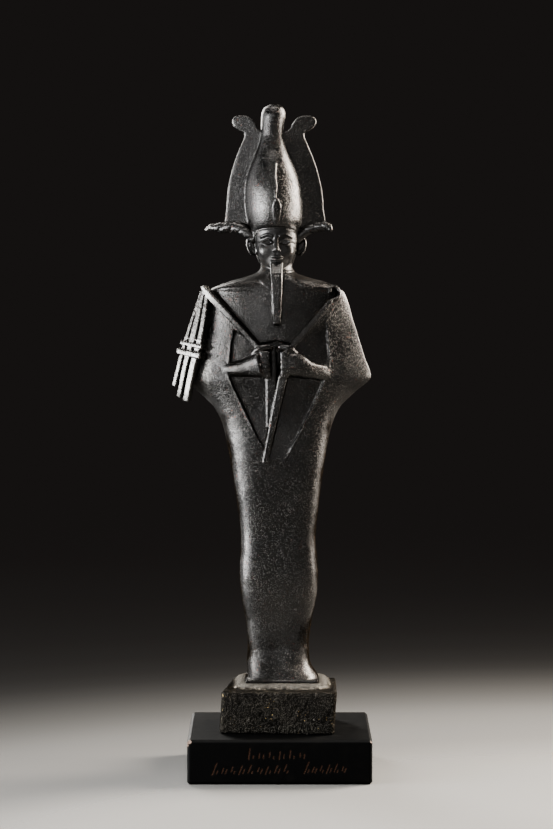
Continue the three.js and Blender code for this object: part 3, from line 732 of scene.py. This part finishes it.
def make_figure():
    """The whole casting, on a grid that is finest over the flail, the chest and the head."""
    field = Field(
        axis([(-57, 0.3), (-32, 0.42), (-14, 0.25), (14, 0.42)], 52),
        axis([(-22, 0.3), (-6, 0.45)], 18),
        axis([(1, 0.45), (105, 0.35), (205, 0.24), (236, 0.4)], 295),
    )
    carve_body(field)
    carve_neckline(field)
    carve_hands(field)
    carve_sceptres(field)
    carve_hook(field)
    carve_flail(field)
    carve_head(field.moved(head_shift))
    carve_beard(field.moved(head_shift))
    carve_crown(field)
    carve_plumes(field)
    carve_horns(field)
    carve_cobra(field)
    near = np.abs(field.value) < 1.2
    grid = np.meshgrid(*field.axes, indexing="ij", sparse=True)
    places = [np.broadcast_to(p, near.shape)[near] for p in grid]
    field.value[near] += unevenness(*places, ((0.07, 5.0), (0.045, 1.9)))
    return field


# Noise and meshes

lattice_size = 32
lattice = np.random.default_rng(7).uniform(-1, 1, (lattice_size,) * 3).astype(np.float32)


def noise(x, y, z, size):
    """Smooth noise between -1 and 1, with bumps about as wide as size."""
    places = [np.asarray(p) / size + 400 for p in (x, y, z)]
    first = [np.floor(p).astype(int) for p in places]
    share = [blend_over(p - i, 0, 1) for p, i in zip(places, first)]
    return blend_corners(lambda place: lattice[tuple(i % lattice_size for i in place)], first, share)


def unevenness(x, y, z, waves, start=0):
    """Sum of noises, from pairs of the height of the bumps and their width in millimetres."""
    return sum((height * noise(x, y, z, width) for height, width in waves), start)


def add_object(name, data):
    added = bpy.data.objects.new(name, data)
    bpy.context.scene.collection.objects.link(added)
    return added


def mesh_object(name, points, faces):
    """Blender object from corners in metres and four-sided faces."""
    mesh = bpy.data.meshes.new(name)
    mesh.vertices.add(len(points))
    mesh.vertices.foreach_set("co", points.astype(np.float32).ravel())
    mesh.loops.add(faces.size)
    mesh.loops.foreach_set("vertex_index", faces.astype(np.int32).ravel())
    mesh.polygons.add(len(faces))
    mesh.polygons.foreach_set("loop_start", np.arange(0, faces.size, 4, dtype=np.int32))
    mesh.update(calc_edges=True)
    mesh.validate()
    return add_object(name, mesh)


def thin_out(piece, triangles):
    """Merges the faces that the shape can spare, down to a number of triangles."""
    count = sum(len(p.vertices) - 2 for p in piece.data.polygons)
    thinner = piece.modifiers.new("fewer faces", "DECIMATE")
    thinner.ratio = min(triangles / count, 1)
    thinner.use_collapse_triangulate = True
    done = bpy.data.meshes.new_from_object(piece.evaluated_get(bpy.context.evaluated_depsgraph_get()))
    piece.modifiers.clear()
    piece.data = done


def positions(piece):
    found = np.zeros(len(piece.data.vertices) * 3, np.float32)
    piece.data.vertices.foreach_get("co", found)
    return found.reshape(-1, 3)


def store_values(piece, name, values):
    store = piece.data.attributes.new(name, "FLOAT", "POINT")
    store.data.foreach_set("value", values.astype(np.float32))


def mark_wear(piece, field, to_field):
    """Stores how deep in a hollow and how far out on an edge each corner lies, read from the field."""
    points = to_field(positions(piece) / MM)
    normals = field.slope(points)
    near, far = 0.7, 2.2
    hollow = sum(np.clip(1 - field.sample(points + normals * reach) / reach, 0, 1) for reach in (near, far))
    edge = np.clip(1 + field.sample(points - normals * near) / near, 0, 1)
    store_values(piece, "hollow", hollow / 2)
    store_values(piece, "edge", edge)


def figure_to_world(points):
    """From the figure's tables to the model's own millimetres."""
    x, y, z = points.T * figure_scale
    level = z - sole_level * figure_scale
    return np.stack([x - lean * level, y + figure_back, level + figure_low[2]], axis=1)


def world_to_figure(points):
    level = points[:, 2] - figure_low[2]
    return np.stack([
        (points[:, 0] + lean * level) / figure_scale,
        (points[:, 1] - figure_back) / figure_scale,
        level / figure_scale + sole_level,
    ], axis=1)


# The plinth: a rough cast block that narrows to the back, with a swelling round the foot slab, which sits
# in a socket. Lengths are in the model's own millimetres.

plinth_height = 21.1
plinth_half_front = 28.7
plinth_half_back = 26.0
plinth_half_depth = 24.5
plinth_corner = 2.0
plinth_middle = (0.5, -1.5)
plinth_turn = -3.5
plinth_lean = 1.3
pad_height = 2.4
pad_flat = 1.0
pad_spread = 5.0
socket_depth = 1.2
socket_gap = 0.3
plinth_top = plinth_low[2] + plinth_height


def rounded_box(gaps, rounding):
    """Distance from how far a point lies past each pair of faces, with rounded edges."""
    past = [gap + rounding for gap in gaps]
    outside = np.sqrt(sum(np.maximum(gap, 0) ** 2 for gap in past))
    deepest = past[0]
    for gap in past[1:]:
        deepest = np.maximum(deepest, gap)
    return outside + np.minimum(deepest, 0) - rounding


def slab_distance(x, y):
    """Distance in plan to the foot slab's rounded outline."""
    middle = (slab_heel - slab_toe) / 2 + figure_back
    half_depth = (slab_heel + slab_toe) / 2
    return rounded_box([np.abs(x - slab_shift) - slab_half_width, np.abs(y - middle) - half_depth], 3)


def make_plinth():
    margin, step = 2, 0.36
    field = Field(*(axis([(a, step)], b) for a, b in zip(plinth_low - margin, plinth_high + margin)))
    turn = math.radians(plinth_turn)

    def block(x, y, z):
        over = x - plinth_middle[0] - plinth_lean * ((z - plinth_low[2]) / plinth_height - 0.5)
        back = y - plinth_middle[1]
        u = over * math.cos(turn) + back * math.sin(turn)
        v = back * math.cos(turn) - over * math.sin(turn)
        half = (plinth_half_front + plinth_half_back
                + (plinth_half_back - plinth_half_front) * v / plinth_half_depth) / 2
        plan = rounded_box([np.abs(u) - half, np.abs(v) - plinth_half_depth], plinth_corner)
        wear = 1.0 + 0.9 * np.maximum(noise(x, y, z, 5.0), 0) + 0.5 * noise(x, y, z, 1.7)
        return rounded_box([plan, np.abs(z - plinth_top + plinth_height / 2) - plinth_height / 2], wear)

    def swelling(x, y, z):
        run = np.maximum(slab_distance(x, y) - pad_flat, 0)
        return ellipsoid_distance([(run, pad_spread - pad_flat), (z - plinth_top + 0 * run, pad_height)], 2)

    def socket(x, y, z):
        return np.maximum(slab_distance(x, y) - socket_gap, plinth_top + pad_height - socket_depth - z)

    field.join(field.whole(block), soft=0)
    field.join(field.whole(swelling), soft=2.5)
    field.carve(field.whole(socket), soft=0.3)

    def rough(x, y, z):
        pits = np.maximum(noise(x, y, z, 1.2) - 0.5, 0) * 0.7
        return unevenness(x, y, z, ((0.1, 7.0), (0.06, 2.6), (0.08, 1.1)), pits)

    def sound_foot(x, y, z):
        """The block's lowest layer, drawn in a little, where the casting is sound."""
        return np.maximum(block(x, y, z) + 0.6, z - plinth_low[2] - 0.5)

    field.press(field.whole(rough))
    field.join(field.whole(sound_foot), soft=0)
    field.carve(field.whole(lambda x, y, z: z - plinth_low[2] + 0 * x + 0 * y), soft=0)
    return field


# The stand: a wooden block, chamfered round the top, with a few chips.

stand_corner = 1.6
stand_chamfer = 1.3
stand_foot_wear = 1.2
# Strokes of the title on the front, pressed and tinted: the level of each row's foot, how much the row
# climbs to the right, the height and the lean of its strokes, and the first place and width of each group.
title_rows = (
    (12.6, 0.0, 4.4, 0.0, ((-15.8, 30.0, 6),)),
    (5.4, 0.012, 4.6, 0.28, ((-33.6, 39.0, 9), (11.6, 21.6, 6))),
)
title_depth = 0.16
title_width = 0.24
chips = (
    ((-45.2, -40.6, 21.6), 1.7), ((-45.6, -40.2, 19.6), 0.9), ((45.4, -40.7, 21.3), 1.0),
    ((-44.5, 40.5, 22.2), 1.3), ((44.9, 40.6, 22), 1.1), ((12, -41.2, 21.6), 0.5), ((-45.6, 6, 21.4), 0.7),
)


def title_strokes():
    """Short lines [x, height] that stand in rows like writing but are no letters."""
    found = []
    for foot, climb, height, lean, groups in title_rows:
        for start, width, count in groups:
            pitch = width / count
            for i in range(count):
                x, z = start + i * pitch, foot + climb * (start + i * pitch)
                tall = height * (1.25 if i == 0 else 1.0)
                # A long and a short stroke: place across the pitch, foot and head as shares of the height.
                long = (0.1, 0.15 * (i % 3), 1 - 0.1 * (i * 3 % 4))
                short = (0.52, 0.1, 0.35 + 0.2 * (i % 2))
                for u, *ends in (long, short):
                    found.append([(x + u * pitch + (lean + 0.12) * v * tall, z + v * tall) for v in ends])
    return found


def title_share(x, z):
    """How much a point of the front lies on a stroke, 0 to 1."""
    gap = np.full(np.broadcast_shapes(x.shape, z.shape), 9.0, np.float32)
    for line in title_strokes():
        gap = np.minimum(gap, line_distance(np.array(line), x, z)[0])
    return 1 - blend_over(gap, title_width * 0.6, title_width * 1.5)


def chip(place, size, border=0.0):
    """The hollow that a knock left; with a border it takes in the bare wood round it."""
    return lump(*place, *(size * (share + border) for share in (1, 0.8, 0.7)), tilt=20)


def mark_stand(piece):
    """Stores where the strokes and the chips lie."""
    x, y, z = (positions(piece) / MM).T
    bare = np.zeros(len(x), np.float32)
    for place, size in chips:
        bare = np.maximum(bare, chip(place, size, border=0.1).distance(x, y, z) < 0)
    store_values(piece, "title", title_share(x, z) * (y < stand_low[1] + 1))
    store_values(piece, "bare", bare)


def make_stand():
    margin = 1.5
    low, high = stand_low - margin, stand_high + margin
    fine, coarse, border = 0.3, 1.2, 3.0
    field = Field(
        axis([(low[0], fine)], high[0]),
        axis([(low[1], fine), (stand_low[1] + border, coarse), (stand_high[1] - border, fine)], high[1]),
        axis([(low[2], fine)], high[2]),
    )
    middle, half = (stand_low + stand_high) / 2, (stand_high - stand_low) / 2

    def block(x, y, z):
        gaps = [np.abs(p - m) - h for p, m, h in zip((x, y, z), middle, half)]
        plan = rounded_box(gaps[:2], stand_corner)
        top = (plan + z - stand_high[2] + stand_chamfer) / math.sqrt(2)
        foot = (plan + stand_low[2] - z + stand_foot_wear) / math.sqrt(2)
        return np.maximum(rounded_box([plan, gaps[2]], 0.25), np.maximum(top, foot))

    field.join(field.whole(block), soft=0)
    for place, size in chips:
        field.carve(chip(place, size), soft=0.15)
    field.press(Form(
        (stand_low[0], low[1], 1), (stand_high[0], stand_low[1] + 1, stand_high[2]),
        lambda x, y, z: title_depth * title_share(x, z) + 0 * y,
    ))
    return field


most_triangles = 198000


def same(points):
    return points


def shown(name, field, to_world=same, to_field=same):
    """The surface of a field as a Blender object that rides on the model's only body."""
    points, faces = field.surface()
    piece = mesh_object(name, to_world(points) * MM, faces)
    if most_triangles < 2 * len(faces):
        thin_out(piece, most_triangles)
    mark_wear(piece, field, to_field)
    for polygon in piece.data.polygons:
        polygon.use_smooth = True
    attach(piece, "root")
    return piece


# Finishes


class Value:
    """A shader socket that Python expressions work on: each operator adds its Math node."""

    def __init__(self, finish, socket):
        self.finish = finish
        self.socket = socket

    def math(self, operation, *others):
        return self.finish.node("ShaderNodeMath", {"operation": operation}, dict(enumerate((self, *others))))

    def __add__(self, other):
        return self.math("ADD", other)

    def __mul__(self, other):
        return self.math("MULTIPLY", other)

    def __sub__(self, other):
        return self.math("SUBTRACT", other)

    def __truediv__(self, other):
        return self.math("DIVIDE", other)

    def __rsub__(self, other):
        return self.math("MULTIPLY_ADD", -1, other)

    __radd__ = __add__
    __rmul__ = __mul__

    def rise(self, start, end):
        """0 before start and 1 after end, smooth between."""
        settings = {"interpolation_type": "SMOOTHSTEP", "clamp": True}
        return self.finish.node("ShaderNodeMapRange", settings, {"Value": self, 1: start, 2: end})

    def between(self, rise, fall):
        """1 between two places, with a smooth change at each; both give its start and end."""
        return self.rise(*rise) * (1 - self.rise(*fall))


class Finish:
    """A material of one Principled shader and the nodes that feed it."""

    def __init__(self, name, **constants):
        self.material = bpy.data.materials.new(name)
        self.material.use_nodes = True
        self.tree = self.material.node_tree
        self.shader = self.tree.nodes["Principled BSDF"]
        for socket, value in constants.items():
            self.shader.inputs[socket.replace("_", " ")].default_value = value
        metres = self.node("ShaderNodeTexCoord", output="Object")
        self.place = self.vector("SCALE", metres, scale=1 / MM)

    def node(self, kind, settings=None, inputs=None, output=0):
        """Adds a node: its settings first, then the values or links of its sockets."""
        node = self.tree.nodes.new(kind)
        for name, value in (settings or {}).items():
            setattr(node, name, value)
        for key, value in (inputs or {}).items():
            self.feed(node.inputs[key], value)
        return Value(self, node.outputs[output])

    def feed(self, socket, value):
        if isinstance(value, Value):
            self.tree.links.new(value.socket, socket)
        else:
            socket.default_value = value

    def vector(self, operation, a, b=None, scale=None):
        inputs = {0: a}
        if b is not None:
            inputs[1] = b
        if scale is not None:
            inputs["Scale"] = scale
        return self.node("ShaderNodeVectorMath", {"operation": operation}, inputs)

    def layers(self, ground, *above):
        """Colour from the ground's and from pairs of a share and the colour that covers it there."""
        for share, tone in above:
            a, b = (c if isinstance(c, Value) else (*c, 1) for c in (ground, tone))
            ground = self.node("ShaderNodeMix", {"data_type": "RGBA"}, {0: share, 6: a, 7: b}, output=2)
        return ground

    def grain(self, size, detail=2.0, roughness=0.5, stretch=(1, 1, 1), shift=0.0):
        """Noise from 0 to 1 with bumps about as wide as size in millimetres, longer where stretched."""
        place = self.vector("MULTIPLY", self.place, tuple(1 / (size * s) for s in stretch))
        if shift:
            place = self.vector("ADD", place, (shift, shift, shift))
        inputs = {"Vector": place, "Scale": 1.0, "Detail": detail, "Roughness": roughness}
        return self.node("ShaderNodeTexNoise", {"noise_dimensions": "3D"}, inputs)

    def stored(self, name):
        """A value stored on the mesh."""
        return self.node("ShaderNodeAttribute", {"attribute_name": name}, output="Fac")

    def axis(self, i):
        """One coordinate in millimetres."""
        return self.node("ShaderNodeSeparateXYZ", None, {0: self.place}, output=i)

    def bump(self, height, distance):
        """Normal from a height map whose full range is distance in millimetres."""
        return self.node("ShaderNodeBump", None, {"Height": height, "Distance": distance * MM})

    def dress(self, piece, **links):
        for socket, value in links.items():
            self.feed(self.shader.inputs[socket.replace("_", " ")], value)
        piece.data.materials.clear()
        piece.data.materials.append(self.material)


# Where the figure's finish, its painted shade and its painted highlight change, in the model's own
# millimetres: start and end of each change, on the way up, to the viewer's right or to the back.
crust_reach = (4.5, 9.5)
crust_top = (160, 206)
face_levels = ((250, 253), (272, 274))
face_depth = (0, 4)
# Painted shade on the sides of the neck.
neck_shade_levels = ((245, 248), (256, 259))
neck_shade_side = (5, 8)
# Painted highlight on the flail.
flail_highlight_across = (-36, -33)
flail_highlight_levels = (144, 150)
# Painted shade on the left of the chest.
chest_shade_levels = ((166, 182), (246, 252))
chest_shade_across = ((-30, -24), (-18, -8))
# Painted shade on the left foot.
foot_shade_top = (63, 70)
foot_shade_across = (-6, 2)

# Colours of metal, dirt and paint, and of painted shade and painted highlights.
dark_bronze = (0.022, 0.0213, 0.0207)
warm_bronze = (0.034, 0.0325, 0.031)
bronze_pits = (0.009, 0.0085, 0.008)
# Painted shade: a duller bronze on the chest's left, the left foot and the sides of the neck.
painted_shade_bronze = (0.008, 0.0075, 0.007)
# Worn edges, and the painted highlight on the flail.
rubbed_and_highlight_bronze = (0.1, 0.095, 0.088)
brown_grit = (0.014, 0.011, 0.008)
red_specks = (0.06, 0.018, 0.01)
# Dirt colours, which also paint shade on the sides of the neck.
dark_soil_and_neck_shade = (0.0012, 0.0009, 0.0006)
ochre_soil_and_neck_shade = (0.01, 0.0065, 0.0038)
black_casting = (0.0035, 0.0032, 0.0028)
brown_casting = (0.006, 0.0054, 0.0045)
casting_grains = (0.021, 0.0185, 0.015)
# Painted highlight on the swelling round the foot slab.
pad_highlight_bronze = (0.085, 0.08, 0.072)
bare_edge = (0.14, 0.126, 0.107)
gold_specks = (0.2, 0.14, 0.06)
black_paint = (0.0004, 0.0004, 0.0004)
dusty_paint = (0.0014, 0.0012, 0.001)
scuffed_paint = (0.012, 0.009, 0.007)
title_brown = (0.02, 0.009, 0.005)
bare_wood = (0.08, 0.055, 0.043)


def finish_figure(piece):
    """Nearly black polished bronze: rubbed lighter on edges, with a painted highlight on the flail and
    painted shade on the left of the chest, on the left foot and on the sides of the neck; ochre dirt in the
    hollows and a brown crust along the sides of the legs. The face is smoother."""
    bronze = Finish("polished dark bronze", Specular_IOR_Level=0.0, Specular_Tint=(0.6, 0.6, 0.6, 1))
    hollow, edge = bronze.stored("hollow"), bronze.stored("edge")
    across, back, level = (bronze.axis(i) for i in range(3))
    patches = bronze.grain(16, detail=3)
    streaks = bronze.grain(0.55, detail=3, stretch=(1, 1, 4))
    pits = bronze.grain(0.8, detail=3, roughness=0.65)
    grit = bronze.grain(0.5, detail=2, shift=9).rise(0.57, 0.68)
    specks = bronze.grain(0.9, detail=1, shift=17).rise(0.7, 0.76)
    crust = bronze.grain(1.5, detail=3, roughness=0.6)

    face = level.between(*face_levels) * (1 - back.rise(*face_depth))
    # Painted shade: the sides of the neck are darkened.
    neck_shade = level.between(*neck_shade_levels) * across.math("ABSOLUTE").rise(*neck_shade_side)
    # Painted shade: the left of the chest is darker.
    chest_shade = level.between(*chest_shade_levels) * across.between(*chest_shade_across)
    # Painted shade: the left foot is darker.
    foot = (1 - level.rise(*foot_shade_top)) * (1 - across.rise(*foot_shade_across))
    # Painted highlight: the flail and the arm's edge behind it are lighter.
    flail_highlight = (1 - across.rise(*flail_highlight_across)) * level.rise(*flail_highlight_levels)

    # The crust's edge wanders by some millimetres, and more so upwards.
    wander = (pits - 0.5) * 9 + (patches - 0.5) * 14
    off_side = (back - figure_back).math("ABSOLUTE") + wander
    seam = (1 - off_side.rise(*crust_reach)) * (1 - (level + wander * 4).rise(*crust_top))
    grime = ((patches - 0.5) * 0.25 + (pits - 0.5) * 0.3) * (1 - face * 0.8)
    dirt_and_neck_shade = (hollow * (1 - face * 0.4) + grime).rise(0.42, 0.66)
    # Dirt in the hollows and crust on the legs, and painted shade on the sides of the neck.
    dirt_and_neck_shade = dirt_and_neck_shade.math("MAXIMUM", seam).math("MAXIMUM", neck_shade * 0.65)
    # Edges worn lighter, and the painted highlight on the flail.
    rubbed_and_flail_highlight = (edge + (streaks - 0.5) * 0.3).rise(0.35, 0.75).math("MAXIMUM", flail_highlight * 0.8)

    bronze.dress(
        piece,
        Base_Color=bronze.layers(
            dark_bronze,
            (patches.rise(0.35, 0.7), warm_bronze),
            (0.6 - pits.rise(0.3, 0.55) * 0.6, bronze_pits),
            # Painted shade: a duller bronze on the chest's left, the left foot and the sides of the neck.
            ((chest_shade + foot) * 0.75 * (1 - neck_shade) + neck_shade * 0.8, painted_shade_bronze),
            (rubbed_and_flail_highlight * 0.55, rubbed_and_highlight_bronze),
            (grit * (0.4 - face * 0.3), brown_grit),
            (specks * 0.6, red_specks),
            # Dirt in the hollows and crust on the legs, and painted shade on the sides of the neck.
            (dirt_and_neck_shade, bronze.layers(dark_soil_and_neck_shade, (crust.rise(0.56, 0.66), ochre_soil_and_neck_shade))),
        ),
        Metallic=(1.0 - dirt_and_neck_shade) * (1.0 - grit * 0.35),
        Roughness=(0.24 + (streaks - 0.5) * 0.14 + (patches - 0.5) * 0.08 + grit * 0.15 + dirt_and_neck_shade * 0.35
                   + face * 0.1),
        Normal=bronze.bump((streaks * 0.35 + pits * 0.45 + grit * 0.2) * (1 - face * 0.7), 0.3),
    )


def finish_plinth(piece):
    """Rough pitted bronze, brownish black, with bare gold specks; the swelling round the feet is smoother and
    has a painted highlight.
    """
    bronze = Finish("rough cast bronze", Specular_IOR_Level=0.0, Specular_Tint=(0.4, 0.4, 0.4, 1))
    hollow, edge = bronze.stored("hollow"), bronze.stored("edge")
    patches = bronze.grain(9, detail=3)
    grains = bronze.grain(0.75, detail=2, roughness=0.6).rise(0.42, 0.68)
    crust = bronze.grain(2.4, detail=4, roughness=0.65)
    clusters = bronze.grain(12, detail=1, shift=31)
    specks = (bronze.grain(0.9, detail=1, shift=5) + (clusters - 0.5) * 0.5).rise(0.76, 0.82)
    # The swelling round the foot slab: smoother, with a painted highlight in its colour.
    pad_polish_and_highlight = (bronze.axis(2) + (crust - 0.5) * 4.5).rise(plinth_top - 0.3, plinth_top + 2.6)
    bronze.dress(
        piece,
        Base_Color=bronze.layers(
            black_casting,
            (patches.rise(0.35, 0.7), brown_casting),
            (grains * crust.rise(0.4, 0.65), casting_grains),
            # Painted highlight on the swelling.
            (pad_polish_and_highlight * 0.8, pad_highlight_bronze),
            ((edge + (crust - 0.5) * 0.6).rise(0.2, 0.55) * 0.8, bare_edge),
            (specks * 0.8, gold_specks),
        ),
        Metallic=0.9 - hollow.rise(0.5, 0.8) * 0.5 - edge.rise(0.3, 0.6) * 0.4,
        Roughness=0.42 + (crust - 0.5) * 0.4 - specks * 0.1,
        Normal=bronze.bump(grains * 0.6 + crust * 0.4, 0.34 - pad_polish_and_highlight * 0.14),
    )


def finish_stand(piece):
    """Black paint, scuffed on the edges and faintly scratched, with the strokes of its title in brown."""
    paint = Finish("black stand paint", Specular_IOR_Level=0.02)
    edge, title, bare = (paint.stored(name) for name in ("edge", "title", "bare"))
    dust = paint.grain(6, detail=5, roughness=0.7)
    scratches = paint.grain(0.6, detail=2, stretch=(14, 1, 1))
    worn = (edge + (dust - 0.5) * 0.9).rise(0.7, 0.86)
    paint.dress(
        piece,
        Base_Color=paint.layers(
            black_paint,
            (dust.rise(0.5, 0.75) * 0.6, dusty_paint),
            (worn * 0.7, scuffed_paint),
            (title * (0.5 + dust * 0.6), title_brown),
            (bare, bare_wood),
        ),
        Roughness=0.5 + (dust - 0.5) * 0.25 + worn * 0.3,
        Normal=paint.bump(scratches, 0.02),
    )


# Stage, light and camera

floor_radius = 2.0
floor_shade = (0.097, 0.0948, 0.0905, 1)
# Painted pool of light: how much of the floor shows at a distance from its lit middle, in metres; it fades
# into the dark.
floor_light_pool = (
    (0.0, 1.0), (0.2, 1.0), (0.24, 0.94), (0.31, 0.85), (0.34, 0.75), (0.37, 0.6), (0.39, 0.51),
    (0.43, 0.44), (0.465, 0.37), (0.49, 0.29), (0.51, 0.22), (0.54, 0.15), (0.57, 0.1), (0.6, 0.062),
    (0.633, 0.035), (0.667, 0.022), (0.72, 0.014), (0.8, 0.009), (0.9, 0.0062), (1.0, 0.0045),
    (1.2, 0.003), (1.5, 0.0015), (1.9, 0.0),
)
lit_middle = (0.18, -0.3, 0)


def make_floor():
    """A pale round of floor about the stand with a painted pool of light, fading into the dark of the studio.
    """
    rings, steps = [0.05, 0.3, 1.0, floor_radius], 64
    corners = [(0, 0, 0)] + [
        (r * math.cos(a), r * math.sin(a), 0)
        for r in rings for a in (2 * math.pi * i / steps for i in range(steps))
    ]
    faces = [(0, 1 + i, 1 + (i + 1) % steps) for i in range(steps)]
    for ring in range(len(rings) - 1):
        first = 1 + ring * steps
        for i in range(steps):
            j = (i + 1) % steps
            faces.append((first + i, first + steps + i, first + steps + j, first + j))
    mesh = bpy.data.meshes.new("studio_floor")
    mesh.from_pydata(corners, [], faces)
    floor = add_object("studio_floor", mesh)

    paper = Finish("pale floor", Base_Color=floor_shade, Roughness=0.8, Specular_IOR_Level=0.1)
    # Painted pool of light: the floor shows less the further it lies from its lit middle.
    away = paper.vector("SUBTRACT", paper.vector("SCALE", paper.place, scale=MM), lit_middle)
    distance = paper.node("ShaderNodeVectorMath", {"operation": "LENGTH"}, {0: away}, output="Value")
    ramp = paper.node("ShaderNodeValToRGB", None, {0: distance / floor_radius}).socket.node
    stops = ramp.color_ramp.elements
    while len(stops) < len(floor_light_pool):
        stops.new(0.5)
    for stop, (radius, share) in zip(stops, floor_light_pool):
        stop.position = radius / floor_radius
        stop.color = (share, share, share, 1)
    paper.dress(floor, Alpha=Value(paper, ramp.outputs[0]))


# Soft boxes turned to the figure's axis: azimuth in degrees from the camera's side to the right, distance,
# height, size, power, colour and the height that they are aimed at, in metres and watts.
soft_boxes = {
    "left_key": (-69, 0.75, 0.235, (0.6, 0.21), 37, (0.95, 0.98, 1.0), 0.235),
    "left_low": (-76, 0.75, 0.07, (0.35, 0.11), 13, (0.95, 0.98, 1.0), 0.07),
    "left_side": (-113, 0.8, 0.35, (0.5, 0.7), 7, (0.97, 0.98, 1.0), 0.35),
    "left_rim": (-150, 0.9, 0.65, (0.35, 0.9), 42, (1.0, 0.97, 0.92), 0.65),
    "left_fill": (-26, 1.0, 0.42, (0.7, 0.4), 3.2, (0.97, 0.98, 1.0), 0.42),
    "right_key": (116, 0.75, 0.61, (0.34, 0.68), 125, (1.0, 0.91, 0.8), 0.61),
    "right_mid": (104, 0.75, 0.205, (0.42, 0.13), 27, (1.0, 0.92, 0.82), 0.205),
    "right_low": (108, 0.75, 0.07, (0.6, 0.14), 1.9, (1.0, 0.93, 0.84), 0.07),
    "front_fill": (20, 1.6, 0.5, (1.6, 1.0), 3.1, (1.0, 0.97, 0.93), 0.5),
    "high_fill": (-10, 1.2, 1.1, (1.0, 0.5), 2.2, (1.0, 0.98, 0.96), 0.28),
    "top": (0, 0.2, 1.5, (0.7, 0.5), 30, (1.0, 0.97, 0.93), 0.2),
}
dark_air = (0.0105, 0.009, 0.0085, 1)


def light_studio():
    for name, (azimuth, distance, height, size, power, color, aim_height) in soft_boxes.items():
        lamp = bpy.data.lights.new(name, "AREA")
        lamp.shape = "RECTANGLE"
        lamp.size, lamp.size_y = size
        lamp.energy = power
        lamp.color = color
        turn = math.radians(azimuth)
        box = add_object(name, lamp)
        box.location = (distance * math.sin(turn), -distance * math.cos(turn), height)
        aim = Vector((0, 0, aim_height)) - box.location
        box.rotation_euler = aim.to_track_quat("-Z", "Y").to_euler()
        box.visible_camera = False
    world = bpy.data.worlds.new("dark studio")
    world.use_nodes = True
    world.node_tree.nodes["Background"].inputs[0].default_value = dark_air
    bpy.context.scene.world = world


# The camera's place in metres, how far it looks down in degrees, and its lens.
camera_height = 0.27
camera_distance = 1.4
camera_side = -0.0016
camera_pitch = 3.7
focal_pixels = 2800
photo_height = 829
sensor = 36


def add_camera():
    lens = bpy.data.cameras.new("camera")
    lens.sensor_width = sensor
    lens.lens = sensor * focal_pixels / photo_height
    camera = add_object("camera", lens)
    camera.location = (camera_side, -camera_distance, camera_height)
    camera.rotation_euler = (math.radians(90 - camera_pitch), 0, 0)
    bpy.context.scene.camera = camera


figure = shown("osiris_figure_cast", make_figure(), figure_to_world, world_to_figure)
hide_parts("osiris_figure")
finish_figure(figure)

plinth = shown("bronze_plinth_cast", make_plinth())
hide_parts("bronze_plinth")
finish_plinth(plinth)

stand = shown("wooden_stand_painted", make_stand())
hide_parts("wooden_stand")
mark_stand(stand)
finish_stand(stand)

make_floor()
light_studio()
add_camera()
